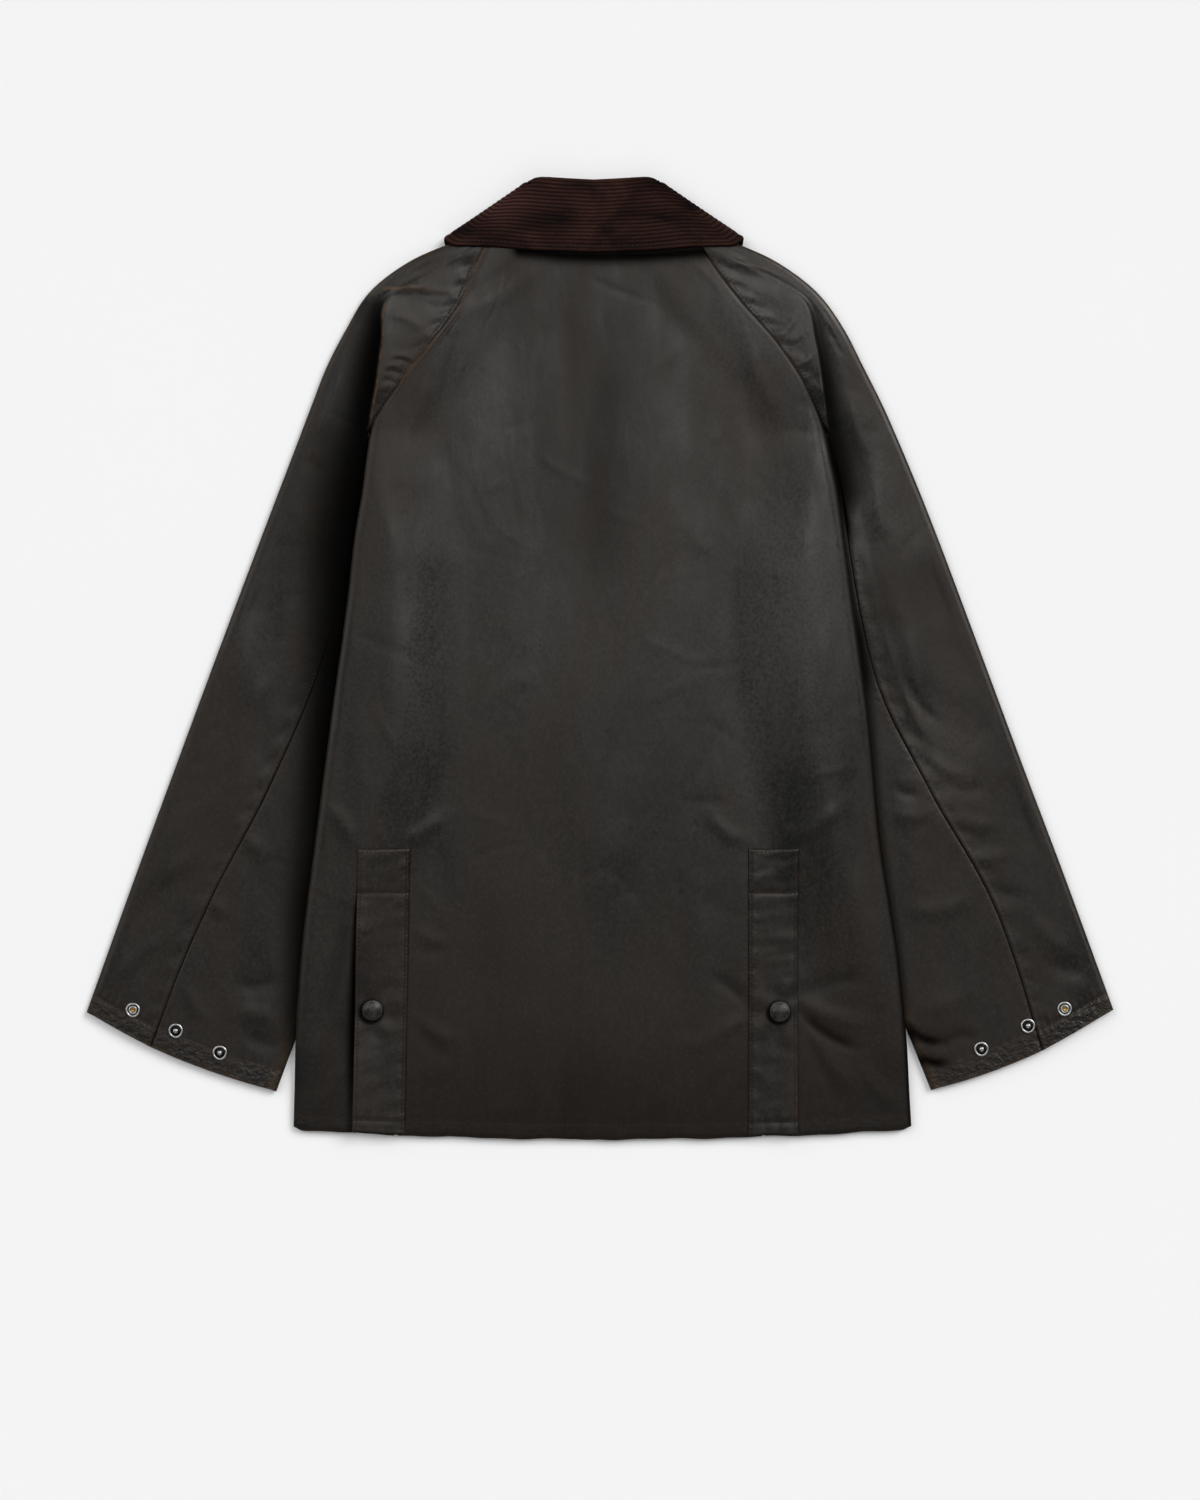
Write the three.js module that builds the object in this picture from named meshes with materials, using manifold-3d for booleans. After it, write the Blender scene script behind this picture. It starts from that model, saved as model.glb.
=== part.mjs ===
// A waxed cotton jacket laid face down on a flat surface, its back uppermost.
// It has raglan sleeves cut in two pieces, a turned-down corduroy collar, two studded vents in
// the back and three snap parts on each cuff. Sizes are in millimetres.
// X runs across the jacket, Y from hem to collar, and Z up from the surface that it lies on.
import * as THREE from "three";
import { mergeVertices } from "three/addons/utils/BufferGeometryUtils.js";
import Module from "manifold-3d";

const wasm = await Module();
wasm.setup();

// Cloth and seams
const CLOTH = 1.5; // waxed shell and its lining, taken as one wall
const HEM_CLOTH = 2.4; // the same cloth turned up at a hem
const HEM_DEPTH = 13;
const CORDUROY = 2.0;
const SEAM_GAP = 0.3;
const RAGLAN_GAP = 0.7; // in plan, where the cloth slopes

// How high things lie
const UNDER_BODY = 5.2; // top of a sleeve where the body presses on it
const COLLAR_LEAF_LIFT = 2.5; // what lies on the front of the collar is raised by this
const NECK_LIFT = 1.5; // and so is the sleeve's fold beside it
const FLY_LIFT = 1.8; // what lies on the front fly is raised by this
const FLY_CLEAR = 29; // out to here, falling away
const FLY_RAMP = 46; // to here
const LIFT_START = 55; // a front starts to rise over a sleeve this far inside its hidden fold
const LIFT_FULL = 8;

// The body
const HEM_Y = -386;
const HEM_DIP = 8; // the hem hangs this much lower at its middle than at the sides
const UNDERARM_Y = 187;
const NECK_Y = 338;
const FRONT_NECK_Y = 262;
const SIDE_ROLL = 9; // how far in from the side the cloth starts to roll under
const ROLL_START_Y = 238; // above this the raglan edge lies flat
const RAGLAN_STEPS = 8; // rows of points between underarm and neck

// The back and side outline from neck to hem, with the heights of the cloth at each level:
// side and crown are the back panel's top, equator is where back and front meet at the side,
// and lift is how far the sleeve below raises the front panel.
const BODY = [
  { y: 338, left: -93, right: 82, side: 8.9, crown: 8.9, equator: 6.6, lift: 0.0 },
  { y: 314, left: -104, right: 98, side: 9.2, crown: 8.4, equator: 6.6, lift: 0.0 },
  { y: 291, left: -114, right: 116, side: 9.4, crown: 7.9, equator: 6.6, lift: 0.0 },
  { y: 258, left: -138, right: 145, side: 9.6, crown: 7.4, equator: 6.6, lift: 0.0 },
  { y: 223, left: -165, right: 168, side: 9.8, crown: 7.1, equator: 6.6, lift: 0.2 },
  { y: 187, left: -187, right: 184, side: 9.6, crown: 6.9, equator: 6.6, lift: 2.9 },
  { y: 163, left: -191, right: 189, side: 11.6, crown: 6.9, equator: 8.6, lift: 5.4 },
  { y: 139, left: -194, right: 194, side: 12.4, crown: 6.9, equator: 9.2, lift: 5.8 },
  { y: 96, left: -201, right: 200, side: 12.6, crown: 6.9, equator: 9.3, lift: 5.8 },
  { y: 52, left: -206, right: 206, side: 12.6, crown: 6.9, equator: 9.3, lift: 5.8 },
  { y: -51, left: -220, right: 220, side: 12.6, crown: 6.9, equator: 9.3, lift: 5.8 },
  { y: -144, left: -232, right: 229, side: 12.6, crown: 6.9, equator: 9.3, lift: 5.8 },
  { y: -252, left: -245, right: 245, side: 12.4, crown: 6.8, equator: 9.2, lift: 5.8 },
  { y: -316, left: -249, right: 251, side: 11.4, crown: 6.8, equator: 8.4, lift: 5.2 },
  { y: -350, left: -250, right: 253, side: 8.4, crown: 7.0, equator: 5.0, lift: 1.4 },
  { y: -386, left: -251, right: 255, side: 7.0, crown: 7.4, equator: 3.6, lift: 0.0 },
];

// The front raglan seam, from underarm to neck, as distances from the jacket's middle line
const FRONT_RAGLAN = [
  { y: 187, left: -187, right: 184 },
  { y: 222, left: -168, right: 167 },
  { y: 255, left: -145, right: 140 },
  { y: 285, left: -125, right: 116 },
  { y: 312, left: -104.5, right: 93.5 },
];

// Sleeves: v runs from the cuff (0) to the underarm (1) and on to the neck (2).
// The fold along the outside of each arm:
const OUTER_FOLD = {
  left: [
    { v: 0.0, x: -420.5, y: -290 },
    { v: 0.2, x: -381, y: -180 },
    { v: 0.4, x: -345, y: -82 },
    { v: 0.6, x: -309, y: 15 },
    { v: 0.8, x: -272, y: 113 },
    { v: 0.9, x: -254, y: 160 },
    { v: 1.0, x: -236.5, y: 206 },
    { v: 1.2, x: -224, y: 238 },
    { v: 1.4, x: -208, y: 269 },
    { v: 1.6, x: -190, y: 298 },
    { v: 1.8, x: -155, y: 325 },
    { v: 2.0, x: -105, y: 346 },
  ],
  right: [
    { v: 0.0, x: 420.5, y: -288 },
    { v: 0.2, x: 381, y: -180 },
    { v: 0.4, x: 344, y: -82 },
    { v: 0.6, x: 308, y: 15 },
    { v: 0.8, x: 271, y: 113 },
    { v: 0.9, x: 252, y: 160 },
    { v: 1.0, x: 232, y: 206 },
    { v: 1.2, x: 216, y: 238 },
    { v: 1.4, x: 200, y: 269 },
    { v: 1.6, x: 179, y: 298 },
    { v: 1.8, x: 143, y: 325 },
    { v: 2.0, x: 95, y: 346 },
  ],
};
// seam is the visible seam, inner the hidden fold, and low the seam on the underside.
const SLEEVE_LINES = {
  left: [
    { v: 0.0, seamX: -368, seamY: -314, innerX: -265, innerY: -355, lowX: -318, lowY: -338 },
    { v: 0.2, seamX: -321, seamY: -203, innerX: -223, innerY: -239, lowX: -272, lowY: -221 },
    { v: 0.4, seamX: -271, seamY: -107, innerX: -191, innerY: -140, lowX: -232, lowY: -123 },
    { v: 0.6, seamX: -231, seamY: -12, innerX: -169, innerY: -37, lowX: -199, lowY: -25 },
    { v: 0.8, seamX: -204, seamY: 88, innerX: -167, innerY: 75, lowX: -185, lowY: 81 },
    { v: 0.9, seamX: -197, seamY: 139, innerX: -184, innerY: 134, lowX: -194, lowY: 138 },
    { v: 1.0, seamX: -187.6, seamY: 187, innerX: -187.6, innerY: 187, lowX: -187.6, lowY: 187 },
  ],
  right: [
    { v: 0.0, seamX: 362, seamY: -317, innerX: 271, innerY: -354, lowX: 318, lowY: -337 },
    { v: 0.2, seamX: 322, seamY: -202, innerX: 226, innerY: -239, lowX: 274, lowY: -221 },
    { v: 0.4, seamX: 270, seamY: -109, innerX: 194, innerY: -140, lowX: 232, lowY: -123 },
    { v: 0.6, seamX: 225, seamY: -15, innerX: 173, innerY: -37, lowX: 199, lowY: -25 },
    { v: 0.8, seamX: 204, seamY: 88, innerX: 168, innerY: 75, lowX: 186, lowY: 81 },
    { v: 0.9, seamX: 197, seamY: 139, innerX: 184, innerY: 134, lowX: 194, lowY: 138 },
    { v: 1.0, seamX: 184.6, seamY: 187, innerX: 184.6, innerY: 187, lowX: 184.6, lowY: 187 },
  ],
};
// Heights of a sleeve's upper cloth: at the seam, at the brow where the shoulder folds over, in
// the valley beside it, at the crown, and where the outer fold starts to turn (near). fold is
// how far across the brow lies.
const SLEEVE_TOP = [
  { v: 0.0, seam: 6.8, brow: 7.0, valley: 7.0, crown: 7.1, near: 6.4, fold: 0.3 },
  { v: 0.2, seam: 7.0, brow: 7.0, valley: 7.0, crown: 7.0, near: 6.8, fold: 0.3 },
  { v: 0.4, seam: 6.8, brow: 7.0, valley: 7.0, crown: 7.0, near: 6.8, fold: 0.3 },
  { v: 0.6, seam: 5.8, brow: 6.8, valley: 6.8, crown: 7.0, near: 6.8, fold: 0.25 },
  { v: 0.8, seam: 5.2, brow: 5.8, valley: 5.8, crown: 7.0, near: 6.8, fold: 0.2 },
  { v: 0.9, seam: 5.2, brow: 5.6, valley: 5.6, crown: 7.0, near: 6.8, fold: 0.15 },
  { v: 1.0, seam: 6.6, brow: 6.6, valley: 6.0, crown: 7.0, near: 6.8, fold: 0.12 },
  { v: 1.1, seam: 8.4, brow: 8.6, valley: 5.8, crown: 6.9, near: 6.8, fold: 0.22 },
  { v: 1.2, seam: 9.6, brow: 10.0, valley: 5.6, crown: 6.8, near: 6.8, fold: 0.35 },
  { v: 1.4, seam: 9.6, brow: 10.0, valley: 5.8, crown: 6.8, near: 6.8, fold: 0.63 },
  { v: 1.6, seam: 9.4, brow: 9.6, valley: 7.4, crown: 7.5, near: 7.4, fold: 0.8 },
  { v: 1.8, seam: 9.2, brow: 9.2, valley: 8.8, crown: 8.6, near: 8.2, fold: 0.7 },
  { v: 2.0, seam: 8.9, brow: 8.8, valley: 8.7, crown: 8.6, near: 8.4, fold: 0.6 },
];
// Heights of its folds: where the outer one turns (equator), the same and the start of the roll
// for the hidden one, and how far the seam underneath is off the surface (low).
const SLEEVE_UNDER = [
  { v: 0.0, equator: 3.3, innerEquator: 3.2, innerNear: 6.4, low: 0.0 },
  { v: 0.2, equator: 3.4, innerEquator: 2.6, innerNear: 5.2, low: 0.0 },
  { v: 0.8, equator: 3.4, innerEquator: 2.6, innerNear: 5.2, low: 0.0 },
  { v: 0.9, equator: 3.4, innerEquator: 2.6, innerNear: 5.2, low: 0.4 },
  { v: 1.0, equator: 3.4, innerEquator: 3.8, innerNear: 6.6, low: 2.9 },
  { v: 1.1, equator: 3.4, innerEquator: 3.8, innerNear: 6.6, low: 1.2 },
  { v: 1.2, equator: 3.4, innerEquator: 3.8, innerNear: 6.6, low: 0.2 },
  { v: 1.4, equator: 3.6, innerEquator: 3.8, innerNear: 6.6, low: 0.0 },
  { v: 1.6, equator: 4.2, innerEquator: 3.8, innerNear: 6.6, low: 0.0 },
  { v: 1.8, equator: 5.4, innerEquator: 3.8, innerNear: 6.6, low: 0.0 },
  { v: 2.0, equator: 6.2, innerEquator: 3.8, innerNear: 6.6, low: 0.0 },
];
const SLEEVE_ROLL = 7; // how far in from a sleeve's outer fold its cloth starts to turn
const INNER_ROLL = 5;
const BROW_HALF_WIDTH = 3.2; // the shoulder's fold drops over twice this distance
const UNDERSLEEVE_END = 0.96; // the undersleeve narrows to nothing just below the underarm
const CUFF_BOW = 5; // the cuff's edge swings out between its corners

// The largest folds in the uppermost cloth, as soft ridges (height above 0) and troughs
const FOLDS = [
  { x1: -120, y1: 250, x2: -60, y2: 318, width: 16, height: 1.2 },
  { x1: 44, y1: 322, x2: 118, y2: 215, width: 18, height: 1.2 },
  { x1: 100, y1: 190, x2: 150, y2: 60, width: 22, height: -0.9 },
  { x1: 12, y1: 250, x2: 6, y2: 20, width: 34, height: -0.8 },
  { x1: 176, y1: 150, x2: 205, y2: -60, width: 24, height: 0.8 },
  { x1: -90, y1: 60, x2: -120, y2: -120, width: 40, height: -0.8 },
  { x1: 158, y1: -292, x2: 235, y2: -345, width: 18, height: -0.8 },
  { x1: 160, y1: -282, x2: 215, y2: -262, width: 16, height: 0.9 },
  { x1: -262, y1: -30, x2: -300, y2: -120, width: 18, height: 1.0 },
  { x1: 216, y1: 222, x2: 246, y2: 150, width: 16, height: 1.2 },
  { x1: 262, y1: 190, x2: 300, y2: 20, width: 20, height: -0.8 },
  { x1: 252, y1: -318, x2: 318, y2: -322, width: 13, height: -0.8 },
  { x1: -262, y1: -322, x2: -312, y2: -330, width: 12, height: -0.8 },
];

// Vents: a studded flap over a slit on each side of the back
const VENT_TOP_Y = -156;
const VENT_BOX_Y = -192; // foot of the stitched box that closes the vent
const VENT_CLOTH = 1.6;
const VENT_GAP = 0.45;
const VENTS = [
  { side: "left", outerX: -200, innerX: -157, slitX: -168, studX: -186, studY: -288, opening: 5.5 },
  { side: "right", outerX: 162, innerX: 121, slitX: 133, studX: 147, studY: -289, opening: 0.6 },
];
const SLIT_WIDTH = 2;

// Press studs
const CAP_RADIUS = 8.6;
const CAP_HEIGHT = 3.4;
const SNAP_RADIUS = 6.1;
const STUD_GAP = 0.45;
const LATHE_SEGMENTS = 16;
const CUFF_SNAPS = [
  { name: "cuff_snap_left_1", x: -382, y: -288, kind: "socket" },
  { name: "cuff_snap_left_2", x: -347, y: -305, kind: "stud" },
  { name: "cuff_snap_left_3", x: -311, y: -323, kind: "stud" },
  { name: "cuff_snap_right_1", x: 380, y: -287, kind: "socket" },
  { name: "cuff_snap_right_2", x: 350, y: -301, kind: "stud" },
  { name: "cuff_snap_right_3", x: 312, y: -320, kind: "stud" },
];

// The fly on the front, underneath
const FLY_HALF_WIDTH = 26;
const FLY_TOP_Y = 252;

// The collar, symmetric about its own middle line
const COLLAR_X = -5;
const COLLAR_BACK_Z = 9.0; // level between stand and fall at the back
const COLLAR_FRONT_Z = 3.2; // and at the front, on the underside
const ROLL_RADIUS = 3.2;
const COLLAR_BULGE = 4; // how far the collar's sides round out
const WALES = 18;
const WALE_HEIGHT = 0.5;
// Half of the collar, from its front end to the middle of the back, as distances from the middle
// line: roll is the fold line, edge the fall's free edge, neck the seam. turn is 0 at the front
// (under), 1 at the back (over), and between them where the collar rounds the side.
const COLLAR = [
  { rollX: 3, rollY: 279, edgeX: 86, edgeY: 250, neckX: 3, neckY: 268, turn: 0.0 },
  { rollX: 24, rollY: 308, edgeX: 103, edgeY: 272, neckX: 42, neckY: 282, turn: 0.0 },
  { rollX: 42, rollY: 350, edgeX: 115, edgeY: 302, neckX: 78, neckY: 300, turn: 0.0 },
  { rollX: 51.5, rollY: 383, edgeX: 120, edgeY: 330, neckX: 94, neckY: 326, turn: 0.0 },
  { rollX: 51.5, rollY: 387, edgeX: 120, edgeY: 334, neckX: 95, neckY: 341, turn: 0.25 },
  { rollX: 51.5, rollY: 387, edgeX: 120, edgeY: 334, neckX: 95, neckY: 346, turn: 0.5 },
  { rollX: 51.5, rollY: 387, edgeX: 120, edgeY: 334, neckX: 93, neckY: 345, turn: 0.75 },
  { rollX: 51, rollY: 391, edgeX: 114, edgeY: 336, neckX: 86, neckY: 341, turn: 1.0 },
  { rollX: 40, rollY: 394, edgeX: 86, edgeY: 336, neckX: 66, neckY: 339.5, turn: 1.0 },
  { rollX: 20, rollY: 392, edgeX: 44, edgeY: 332.5, neckX: 33, neckY: 339, turn: 1.0 },
  { rollX: 0, rollY: 391, edgeX: 0, edgeY: 331.5, neckX: 0, neckY: 338.8, turn: 1.0 },
];

const WAXED = { color: 0x34312c, roughness: 0.5, metalness: 0.0 };
const CORD = { color: 0x2e1a18, roughness: 0.95, metalness: 0.0 };
const GUNMETAL = { color: 0x3a3c3d, roughness: 0.35, metalness: 0.9 };
const STEEL = { color: 0xb4b6b8, roughness: 0.28, metalness: 0.95 };

const mix = (a, b, t) => a + (b - a) * t;
const clamp = (t) => Math.min(1, Math.max(0, t));
const ease = (t) => clamp(t) ** 2 * (3 - 2 * clamp(t));
const radians = THREE.MathUtils.degToRad;

// Reads a column of a table at a place between its rows, smoothly and without overshoot.
function read(table, key, at, column) {
  const rows = table[0][key] < table.at(-1)[key] ? table : [...table].reverse();
  const last = rows.length - 1;
  if (at <= rows[0][key]) return rows[0][column];
  if (at >= rows[last][key]) return rows[last][column];
  const i = rows.findIndex((row, n) => n < last && at < rows[n + 1][key]);
  const slope = (n) =>
    n < 0 || n >= last ? null : (rows[n + 1][column] - rows[n][column]) / (rows[n + 1][key] - rows[n][key]);
  const tangent = (n) => {
    const [before, after] = [slope(n - 1), slope(n)];
    if (before === null) return after;
    if (after === null) return before;
    return before * after <= 0 ? 0 : (2 * before * after) / (before + after);
  };
  const span = rows[i + 1][key] - rows[i][key];
  const t = (at - rows[i][key]) / span;
  return (
    (2 * t ** 3 - 3 * t ** 2 + 1) * rows[i][column] +
    (t ** 3 - 2 * t ** 2 + t) * span * tangent(i) +
    (3 * t ** 2 - 2 * t ** 3) * rows[i + 1][column] +
    (t ** 3 - t ** 2) * span * tangent(i + 1)
  );
}

const body = (y, column) => read(BODY, "y", y, column);

function steps(from, to, count) {
  return Array.from({ length: count + 1 }, (_, i) => mix(from, to, i / count));
}

// Height of the large folds at a point of the uppermost cloth.
function foldHeight(x, y) {
  return FOLDS.reduce((sum, f) => {
    const [dx, dy] = [f.x2 - f.x1, f.y2 - f.y1];
    const along = ((x - f.x1) * dx + (y - f.y1) * dy) / (dx * dx + dy * dy);
    const t = clamp(along);
    const away = Math.hypot(x - f.x1 - dx * t, y - f.y1 - dy * t);
    const taper = 1 - 0.6 * Math.abs(2 * t - 1);
    return sum + f.height * taper * Math.exp(-((away / (f.width / 2)) ** 2));
  }, 0);
}

// A wall of cloth: outer holds rows of points, and the inside lies thickness(row, column) in
// from them, along the surface's own normals. turn is 1 or -1, whichever points inwards. level says
// how far the wall stands level at a place where it meets another edge to edge.
function clothWall(outer, thickness, turn, level = () => 0) {
  const [rows, columns] = [outer.length, outer[0].length];
  const normalAt = (i, j) => {
    const along = outer[Math.min(i + 1, rows - 1)][j].clone().sub(outer[Math.max(i - 1, 0)][j]);
    const across = outer[i][Math.min(j + 1, columns - 1)].clone().sub(outer[i][Math.max(j - 1, 0)]);
    const normal = along.cross(across).normalize().multiplyScalar(turn);
    normal.z *= 1 - level(i, j);
    return normal.normalize();
  };
  const inward = (p, i, j) => p.clone().addScaledVector(normalAt(i, j), thickness(i, j));
  const inner = outer.map((row, i) => row.map((p, j) => inward(p, i, j)));
  return shellBetween(outer, inner);
}

// The closed body between two sheets of points.
function shellBetween(outer, inner) {
  const [rows, columns] = [outer.length, outer[0].length];
  const positions = [...outer.flat(), ...inner.flat()].flatMap((p) => [p.x, p.y, p.z]);
  const top = (i, j) => i * columns + j;
  const low = (i, j) => rows * columns + top(i, j);
  const faces = [];
  const quad = (a, b, c, d) => faces.push(a, b, c, a, c, d);
  for (let i = 0; i < rows - 1; i++) {
    for (let j = 0; j < columns - 1; j++) {
      quad(top(i, j), top(i, j + 1), top(i + 1, j + 1), top(i + 1, j));
      quad(low(i, j), low(i + 1, j), low(i + 1, j + 1), low(i, j + 1));
    }
    quad(top(i, 0), top(i + 1, 0), low(i + 1, 0), low(i, 0));
    quad(top(i + 1, columns - 1), top(i, columns - 1), low(i, columns - 1), low(i + 1, columns - 1));
  }
  for (let j = 0; j < columns - 1; j++) {
    quad(top(0, j + 1), top(0, j), low(0, j), low(0, j + 1));
    quad(top(rows - 1, j), top(rows - 1, j + 1), low(rows - 1, j + 1), low(rows - 1, j));
  }
  return facingOut(positions, faces);
}

// A geometry whose faces point out of the body that they close.
function facingOut(positions, faces) {
  const point = (n) => new THREE.Vector3().fromArray(positions, 3 * n);
  let volume = 0;
  for (let n = 0; n < faces.length; n += 3) {
    volume += point(faces[n]).dot(point(faces[n + 1]).cross(point(faces[n + 2])));
  }
  if (volume < 0) faces.reverse();
  return new THREE.BufferGeometry()
    .setAttribute("position", new THREE.Float32BufferAttribute(positions, 3))
    .setIndex(faces);
}

function toSolid(geometry) {
  const bare = geometry.clone();
  bare.deleteAttribute("normal");
  bare.deleteAttribute("uv");
  const merged = mergeVertices(bare, 1e-3);
  return new wasm.Manifold(
    new wasm.Mesh({
      numProp: 3,
      vertProperties: new Float32Array(merged.attributes.position.array),
      triVerts: new Uint32Array(merged.index.array),
    }),
  );
}

function toGeometry(solid) {
  const mesh = solid.getMesh();
  return new THREE.BufferGeometry()
    .setAttribute("position", new THREE.Float32BufferAttribute(mesh.vertProperties, 3))
    .setIndex([...mesh.triVerts]);
}

const jacket = new THREE.Group();

function piece(name, geometry, finish) {
  const mesh = new THREE.Mesh(geometry, new THREE.MeshStandardMaterial(finish));
  mesh.name = name;
  jacket.add(mesh);
  return mesh;
}

// A turned-up edge is thicker, but for where it rolls round a fold: those columns are thin.
const hemmed = (isHem, isRolled) => (i, j) => (isHem(i) && !isRolled(j) ? HEM_CLOTH : CLOTH);

// Hem and cuff edges swing down between their corners.
const hemDrop = (y, u) => HEM_DIP * (1 - u * u) * ease((HEM_Y + 90 - y) / 90);

// Distance from the middle to the hidden fold of the sleeve that lies under the body.
function hiddenFold(side, y) {
  const edge = Math.abs(body(y, side));
  if (y > UNDERARM_Y) return edge;
  return Math.min(edge, Math.abs(read(SLEEVE_LINES[side], "innerY", y, "innerX")));
}

// The back panel's top, before its sides roll under: it rises over the sleeves as the fronts do.
function backTop(x, y) {
  const inside = hiddenFold(x < 0 ? "left" : "right", y) - Math.abs(x);
  const rise = ease((LIFT_START + 4 - inside) / (LIFT_START + 2));
  return mix(body(y, "crown"), body(y, "side"), rise) + foldHeight(x, y);
}

// How far the edge of the back has started to roll under: not at all along the raglan seam.
const rollShare = (y) => ease((ROLL_START_Y - y) / (ROLL_START_Y - UNDERARM_Y));

function backEdgeHeight(side, y) {
  return mix(backTop(body(y, side), y), body(y, "equator"), rollShare(y));
}

// A point of the back panel, in from its left or right edge by a share of the rolled width.
function rolledBackPoint(side, y, angle) {
  const inward = side === "left" ? 1 : -1;
  const roll = mix(3, SIDE_ROLL, rollShare(y));
  const x = body(y, side) + inward * roll * (1 - Math.cos(angle));
  const z = mix(backEdgeHeight(side, y), backTop(x, y), Math.sin(angle));
  return new THREE.Vector3(x, y, z);
}

const ROLL_ANGLES = [0, 30, 60, 90].map(radians);

function backRow(y) {
  const leftRoll = ROLL_ANGLES.map((angle) => rolledBackPoint("left", y, angle));
  const rightRoll = ROLL_ANGLES.map((angle) => rolledBackPoint("right", y, angle)).reverse();
  const [left, right] = [leftRoll.at(-1).x, rightRoll[0].x];
  const leftFoot = LIFT_START + 4 - hiddenFold("left", y);
  const rightFoot = hiddenFold("right", y) - LIFT_START - 4;
  const flat = [
    ...steps(left, leftFoot, 5).slice(1),
    ...steps(leftFoot, rightFoot, 6).slice(1),
    ...steps(rightFoot, right, 5).slice(1, -1),
  ];
  const middle = flat.map((x) => new THREE.Vector3(x, y, backTop(x, y)));
  const row = [...leftRoll, ...middle, ...rightRoll];
  const [start, end] = [row[0].x, row.at(-1).x];
  row.forEach((p) => (p.y -= hemDrop(y, (2 * p.x - start - end) / (end - start))));
  return row;
}

// Both fronts and the back have their points at the same levels along the side, where they meet.
const SIDE_LEVELS = [
  HEM_Y,
  HEM_Y + HEM_DEPTH,
  -357,
  -340,
  -324,
  ...steps(-300, 96, 9),
  130,
  147,
  163,
  175,
  UNDERARM_Y,
];
const BACK_LEVELS = [...steps(NECK_Y, UNDERARM_Y, RAGLAN_STEPS).slice(0, -1), ...SIDE_LEVELS.toReversed()];

function backPanel() {
  const rows = BACK_LEVELS.map(backRow);
  const last = rows[0].length - 1;
  const rim = (i, j) => (j === 0 || j === last ? rollShare(BACK_LEVELS[i]) : 0);
  const thickness = hemmed((i) => i >= rows.length - 2, (j) => j < 4 || j > last - 4);
  const wall = clothWall(rows, thickness, -1, rim);
  const slits = VENTS.map((vent) => {
    const top = (VENT_TOP_Y + VENT_BOX_Y) / 2;
    const bottom = HEM_Y - 2 * HEM_DIP;
    const slit = new THREE.BoxGeometry(SLIT_WIDTH, top - bottom, 60);
    slit.translate(vent.slitX, (top + bottom) / 2, 0);
    return toSolid(slit);
  });
  const cut = slits.reduce((solid, slit) => solid.subtract(slit), toSolid(wall));
  return toGeometry(cut);
}

// How far the underneath cloth is raised: over a sleeve at the side, the fly and the collar.
function collarLift(x, y) {
  const across = ease((150 - Math.abs(x - COLLAR_X)) / 22);
  return COLLAR_LEAF_LIFT * across * ease((y - 226) / 16);
}

function underLift(side, x, y) {
  const inside = hiddenFold(side, y) - Math.abs(x);
  const sleeve = body(y, "lift") * ease((LIFT_START - inside) / (LIFT_START - LIFT_FULL));
  const fly = FLY_LIFT * ease((FLY_RAMP - Math.abs(x)) / (FLY_RAMP - FLY_CLEAR));
  return Math.max(sleeve, fly, collarLift(x, y));
}

// A front panel's rows: where each meets the side or the raglan seam, how far in from there it
// has dropped at the middle, and the share of its edge that rolls up to meet the back.
function frontRows(side) {
  const sideRows = SIDE_LEVELS.map((y) => ({ y, middleY: y, edge: body(y, side) }));
  const top = FRONT_RAGLAN.at(-1).y;
  const raglanRows = steps(UNDERARM_Y, top, RAGLAN_STEPS).slice(1).map((y) => ({
    y,
    middleY: mix(UNDERARM_Y, FRONT_NECK_Y, (y - UNDERARM_Y) / (top - UNDERARM_Y)),
    edge: read(FRONT_RAGLAN, "y", y, side),
  }));
  return [...sideRows, ...raglanRows].map((row) => ({ ...row, rolled: rollShare(row.y) }));
}

function frontPanel(side) {
  const sign = side === "left" ? -1 : 1;
  const rows = frontRows(side);
  const point = (row, distance, z) => {
    const x = sign * distance;
    const share = x / row.edge;
    const y = mix(row.middleY, row.y, share ** 1.4) - hemDrop(row.y, share);
    return new THREE.Vector3(x, y, z ?? underLift(side, x, y));
  };
  const walls = rows.map((row) => {
    const edge = Math.abs(row.edge);
    const roll = mix(3, SIDE_ROLL, row.rolled);
    const fold = Math.min(hiddenFold(side, row.y), edge);
    const foot = Math.max(fold - LIFT_START, FLY_RAMP + 6);
    const far = [0, 0.4, 0.7, 1].map((share) => mix(foot, fold - LIFT_FULL, share));
    const distances = [SEAM_GAP / 2, 15, FLY_CLEAR, FLY_RAMP, (FLY_RAMP + far[0]) / 2, ...far, edge - roll];
    const flat = distances.map((distance) => point(row, distance));
    const meet = mix(flat.at(-1).z, body(row.y, "equator") - SEAM_GAP, row.rolled);
    const turn = [60, 30, 0].map(radians).map((angle) => {
      const z = mix(meet, flat.at(-1).z, Math.sin(angle));
      return point(row, edge - roll * (1 - Math.cos(angle)), z);
    });
    return [...flat, ...turn];
  });
  const last = walls[0].length - 1;
  const rim = (i, j) => (j === last ? rows[i].rolled : 0);
  const thickness = hemmed((i) => i < 2, (j) => j > last - 4);
  return clothWall(walls, thickness, side === "left" ? 1 : -1, rim);
}

function frontFly() {
  const levels = steps(HEM_Y, FLY_TOP_Y, 6);
  const outer = levels.map((y) => steps(-FLY_HALF_WIDTH, FLY_HALF_WIDTH, 4).map((x) => {
    return new THREE.Vector3(x, y - hemDrop(y, x / body(HEM_Y, "right")), 0);
  }));
  const inner = outer.map((row) => row.map((p) => p.clone().setZ(CLOTH)));
  return shellBetween(outer, inner);
}


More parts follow.
